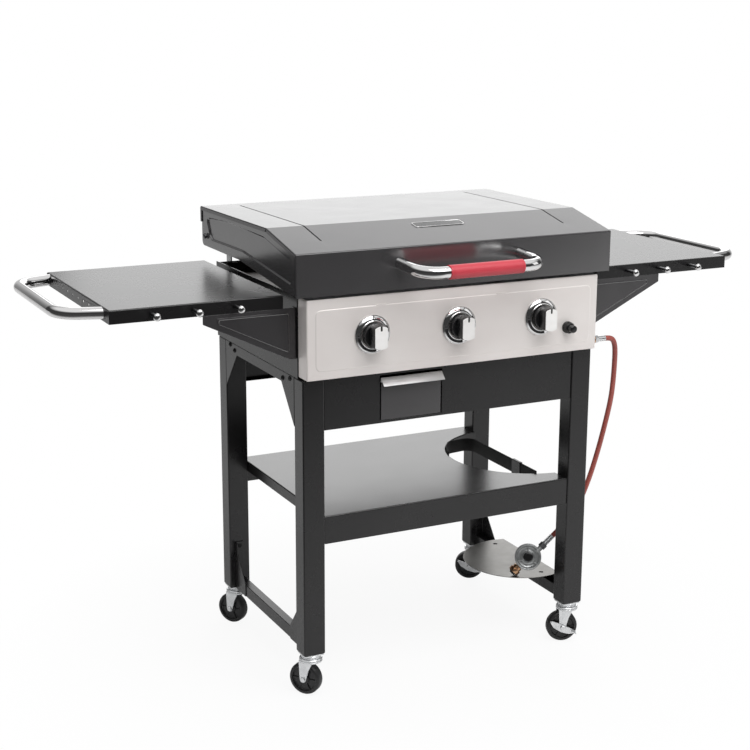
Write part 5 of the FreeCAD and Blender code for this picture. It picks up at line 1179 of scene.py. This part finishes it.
# %% [markdown]
# ## Casters
#
# Each caster has a zinc-plated raceway and swivel crown, two tapered fork cheeks and a black wheel. The two
# on the right also carry a rocking brake pedal. They are parked at different swivel angles, so one loop
# builds each caster in its own frame, which stands under its leg and is turned by its own angle.

# %% Casters
CASTERS = {("front", "left"): 128, ("front", "right"): 160, ("rear", "left"): 125, ("rear", "right"): 150}
TRAIL, AXLE_Z, PEDAL_TILT = 12, 36.5, -25
CHEEKS = ((13.5, 16.0), (-16.0, -13.5))
OUTSIDE, BESIDE_PEDAL = 16.0, 18.8
RACE = [(5.9, 88.3), (20.4, 88.3), (22, 89.0), (22, 90.4), (20.6, 91.0), (20.6, 91.8), (21.8, 92.4),
        (21.8, 94.2), (20.6, 95.5), (5.9, 95.5), (5.9, 88.3)]
CROWN = [(6.05, 78), (22.4, 78), (24.6, 78.8), (25.5, 80.2), (25.5, 82.6), (24.3, 83.3), (24.3, 84.1),
         (25.5, 84.8), (25.5, 86.3), (24.4, 87.6), (22.6, 88), (6.05, 88), (6.05, 78)]
PIN = [(0, 75.5), (7.6, 75.5), (9, 76.2), (9, 77.5), (6, 77.5), (6, 95.4), (0, 95.4)]
TYRE = both_ways([(28, -11.8), (30.6, -12), (33.4, -11.0), (35.6, -9.0), (36.5, -6.2)])
HUB = both_ways([(4.05, -12), (10.6, -12), (12, -11.2), (12.6, -8), (26, -7.6), (27.2, -8.4), (28, -10.8)],
                [(28.1, 0)])
TOP_PLATE = eased(rect(-23, 23, -21, 21), 4, 4)
CHEEK = eased([(-12, 80), (22, 80), (21.5, 70), (19.6, 36.5), (17.3, 31.2), (12, 29), (6.7, 31.2), (4.4, 36.5),
               (-2, 60)], [0, 0, 6, 3, 3, 3, 3, 3, 14], 3)
PEDAL = eased([(-34, 0), (-20.4, -9), (0, -12), (20.4, -9), (34, 0), (34, 4), (17, 6), (-17, 6), (-34, 4)],
              [1.5, 8, 14, 8, 1.5, 1.5, 8, 8, 1.5], 4)
LAY = Matrix.Rotation(math.radians(-90), 4, "X")
mounts = bmesh.new()
for (end, side), parked in CASTERS.items():
    sign = -1 if side == "left" else 1
    fore = -1 if end == "front" else 1
    key = end + "_" + side
    base = Matrix.Translation(at(sign * LEG_X, fore * LEG_Y, 0)) @ Matrix.Scale(MM, 4)
    swivelled = base @ Matrix.Rotation(math.radians(parked), 4, "Z")
    axle = swivelled @ Matrix.Translation((TRAIL, 0, AXLE_Z))
    turn(mounts, RACE, base, 48)
    turn(mounts, PIN, base, 32)
    plate(mounts, TOP_PLATE, face_of(base), 95.4, 98.4)

    fork = bmesh.new()
    turn(fork, CROWN, swivelled, 56)
    for low, high in CHEEKS:
        plate(fork, CHEEK, side_of(swivelled), low, high)
    near = BESIDE_PEDAL if side == "right" else OUTSIDE
    nut = [(0, near), (6.5, near), (6.5, near + 1.9), (5.7, near + 2.7), (3.4, near + 3), (0, near + 2.6)]
    turn(fork, nut, axle @ LAY, 6)
    turn(fork, [(radius, -OUTSIDE - (height - near)) for radius, height in nut], axle @ LAY, 28)
    turn(fork, rod(4, -OUTSIDE, near), axle @ LAY, 24)
    rounded(piece("fork_" + key, fork, zinc_plate, "fork_" + key, ("caster_fork_" + key,)), 0.5)

    wheel = "wheel_" + key
    turned("tyre_" + key, TYRE, [axle @ LAY], tread_rubber, wheel, ("caster_wheel_" + key,), 72)
    turned("hub_" + key, HUB, [axle @ LAY], hub_plastic, wheel)
    ribs("hub_ribs_" + key, [axle @ LAY], 19.8, 0, 300, 6, (15, 2.2, 20.5), hub_plastic, wheel)
    if side == "right":
        tipped = side_of(axle @ Matrix.Rotation(math.radians(PEDAL_TILT), 4, "Y"))
        pedal = bmesh.new()
        plate(pedal, PEDAL, tipped, 16.4, 18.4)
        plate(pedal, rect(-34, -22, 0, 2), tipped, 17.4, 27.4)
        plate(pedal, rect(32, 34, 0, 4), tipped, 17.4, 23.4)
        rounded(piece("pedal_" + end, pedal, zinc_plate, "brake_" + end, ("brake_pedal_" + end,)), 0.6)
rounded(piece("caster_plates", mounts, zinc_plate, "base", ("caster_mounts",)), 0.5)
print("casters:", len(CASTERS))

# %% [markdown]
# ## Gas line ends
#
# At the top, a hexagon and a grooved ferrule join the hose to the manifold. At the bottom, a second ferrule
# and a dark hexagon lead to the regulator: a grey die-cast disc with a dished ring and a dark vent cap, and
# a coppery coupling nut with a black seal that would screw onto the bottle.

# %% Fittings and regulator
def ferrule(radius, length, grooves):
    """Profile of a pressed sleeve with evenly spaced grooves."""
    profile = [(0, 0), (radius - 0.5, 0), (radius, 0.6)]
    for i in range(grooves):
        middle = length * (i + 1) / (grooves + 1)
        profile += [(radius, middle - 1.3), (radius - 0.8, middle - 0.5), (radius - 0.8, middle + 0.5),
                    (radius, middle + 1.3)]
    return profile + [(radius, length - 0.6), (radius - 0.5, length), (0, length)]


CORE = (264, -147, 194.1)
DISC_AXIS = Vector((-0.47, -0.84, 0.27)).normalized()
inlet = spot(366, -236, 730, (1, 0, 0))
outlet = spot(320, -163, 242, Vector((-22, 2, -18.6)).normalized())
disc_place = spot(*CORE, DISC_AXIS)
nut_place = spot(*CORE, Vector((-30, 7, -30)).normalized())
rounded(turned("inlet_hexagon", rod(8.66, 0, 10), [inlet @ Matrix.Rotation(math.pi / 6, 4, "Z")], zinc_plate,
               "base", ("gas_inlet_fitting",), 6), 0.8)
turned("inlet_ferrule", ferrule(5.85, 20.3, 3), [inlet @ Matrix.Translation((0, 0, 10))], zinc_plate,
       "base")
turned("outlet_ferrule", ferrule(6.6, 26, 4), [outlet], zinc_plate, "base", ("regulator_outlet",))
rounded(turned("outlet_hexagon", rod(9, 26, 38), [outlet], dark_nut_steel, "base", (), 6), 0.8)

CASTING = [(0, -16), (13, -16), (16.4, -15.2), (18.4, -13.4), (29.0, -2.2), (31.0, 0.2), (31.5, 2.2),
           (31.5, 8.8), (31.0, 10.8), (29.8, 11.8), (28.2, 12), (26.9, 11.3), (25.6, 8.6), (23.4, 6.9),
           (19.5, 6.3), (15.6, 6.8), (13.6, 8.2), (12.8, 10.6), (12.0, 11.6), (0, 11.6)]
bm = bmesh.new()
turn(bm, CASTING, disc_place, 80)
turn(bm, rod(6, 6, 33), nut_place, 32)
turn(bm, rod(6, 37.5, 52), outlet, 32)
for angle in (90, 205, 320):
    wing = disc_place @ Matrix.Rotation(math.radians(angle), 4, "Z")
    plate(bm, rect(12.2, 27.2, -1.2, 1.2), face_of(wing), 5.5, 10.6)
rounded(piece("regulator_casting", bm, cast_grey, "base", ("regulator_body",)), 0.7)
VENT = [(0, 10.5), (11.4, 10.5), (11.5, 13.4), (10.7, 15.2), (8.6, 16.0), (8.0, 15.2), (0, 15.2)]
NUT = [(0, 32), (9.4, 32), (10.4, 33), (10.4, 39.4), (12.1, 40.2), (12.5, 41.4), (12.5, 48.4), (11.6, 50),
       (0, 50)]
NOSE = [(0, 49.5), (9.8, 49.5), (9.8, 51.5), (7, 52), (7, 54), (6, 55), (0, 55)]
turned("vent_button", VENT, [disc_place], hub_plastic, "base", ("regulator_vent_cap",))
turned("coupling_nut", NUT, [nut_place], coppery_brass, "base", ("regulator_nut",))
ribs("coupling_ribs", [nut_place @ Matrix.Translation((0, 0, 44.9))], 11.6, 0, 330, 12, (2.4, 2.6, 9.4),
     coppery_brass, "base")
turned("nose_seal", NOSE, [nut_place], seal_rubber, "base", ("regulator_seal",))
print("regulator axis:", tuple(round(v, 3) for v in DISC_AXIS))

# %% [markdown]
# ## Bottle strap
#
# Black webbing stands on edge inside the notch lip, leaves it in a gentle turn and runs forward to the
# front rim through a plastic slider. It is swept as a flat rounded section along its line, and its UV map
# counts metres along and across, so the weave keeps its scale round the bends.

# %% Bottle strap
STRAP_Z = 383
NOTCH, NOTCH_RADIUS = (330, -3), 184
STRAP_TURNS = [(195.48, 122.93), (262, 132), (262, -175)]
SECTION = [(1.1, 0), (1.5, 0.9), (1.5, 31.1), (1.1, 32), (-1.1, 32), (-1.5, 31.1), (-1.5, 0.9), (-1.1, 0)]


def strap_line():
    """Middle line of the strap, in drawing millimetres on the flat."""
    line = [Vector(NOTCH) + Vector(polar(NOTCH_RADIUS, angle)) for angle in range(165, 139, -1)]
    route = bent([line[-1].to_3d(), *(Vector((x, y, 0)) for x, y in STRAP_TURNS)], 23, 12)
    return line + [point.to_2d() for point in route[1:]]


bm = bmesh.new()
strap_map = bm.loops.layers.uv.new("strap")
line = strap_line()
rows, travelled = [], [0.0]
for i, point in enumerate(line):
    way = heading(line, i)
    if i:
        travelled.append(travelled[-1] + (point - line[i - 1]).length)
    rows.append([bm.verts.new(at(point.x + way.y * out, point.y - way.x * out, STRAP_Z + up))
                 for out, up in SECTION])
for i in range(len(rows) - 1):
    for k in range(len(SECTION)):
        j = (k + 1) % len(SECTION)
        face = bm.faces.new((rows[i][k], rows[i][j], rows[i + 1][j], rows[i + 1][k]))
        for loop, (along, across) in zip(face.loops, ((i, k), (i, j), (i + 1, j), (i + 1, k))):
            loop[strap_map].uv = (travelled[along] * MM, SECTION[across][1] * MM + 0.001 * (across > 3))
bm.faces.new(rows[0])
bm.faces.new(rows[-1])
piece("webbing_strap", bm, webbing, "base", ("bottle_strap",))
softened("strap_buckle", 1.6, knob_black)
print("strap length mm:", round(travelled[-1]))

# %% [markdown]
# ## Hinge rod
#
# One rod runs through both end caps and the two light brackets on the rear ledge, with an acorn nut on
# each end. It is turned, nuts and all.

# %% Hinge rod
ROD_END = 380.3
ACORN = [(0, ROD_END), (6.5, ROD_END), (6.5, 382.6), (5.6, 384.2), (3.6, 385.1), (0, 385.3)]
bm = bmesh.new()
turn(bm, rod(4, -ROD_END, ROD_END), spot(0, *HINGE, (1, 0, 0)), 24)
for way in (-1, 1):
    turn(bm, ACORN, spot(0, *HINGE, (way, 0, 0)), 24)
piece("hinge_bar", bm, dark_nut_steel, "base", ("hinge_rod",))
print("hinge bar is in")
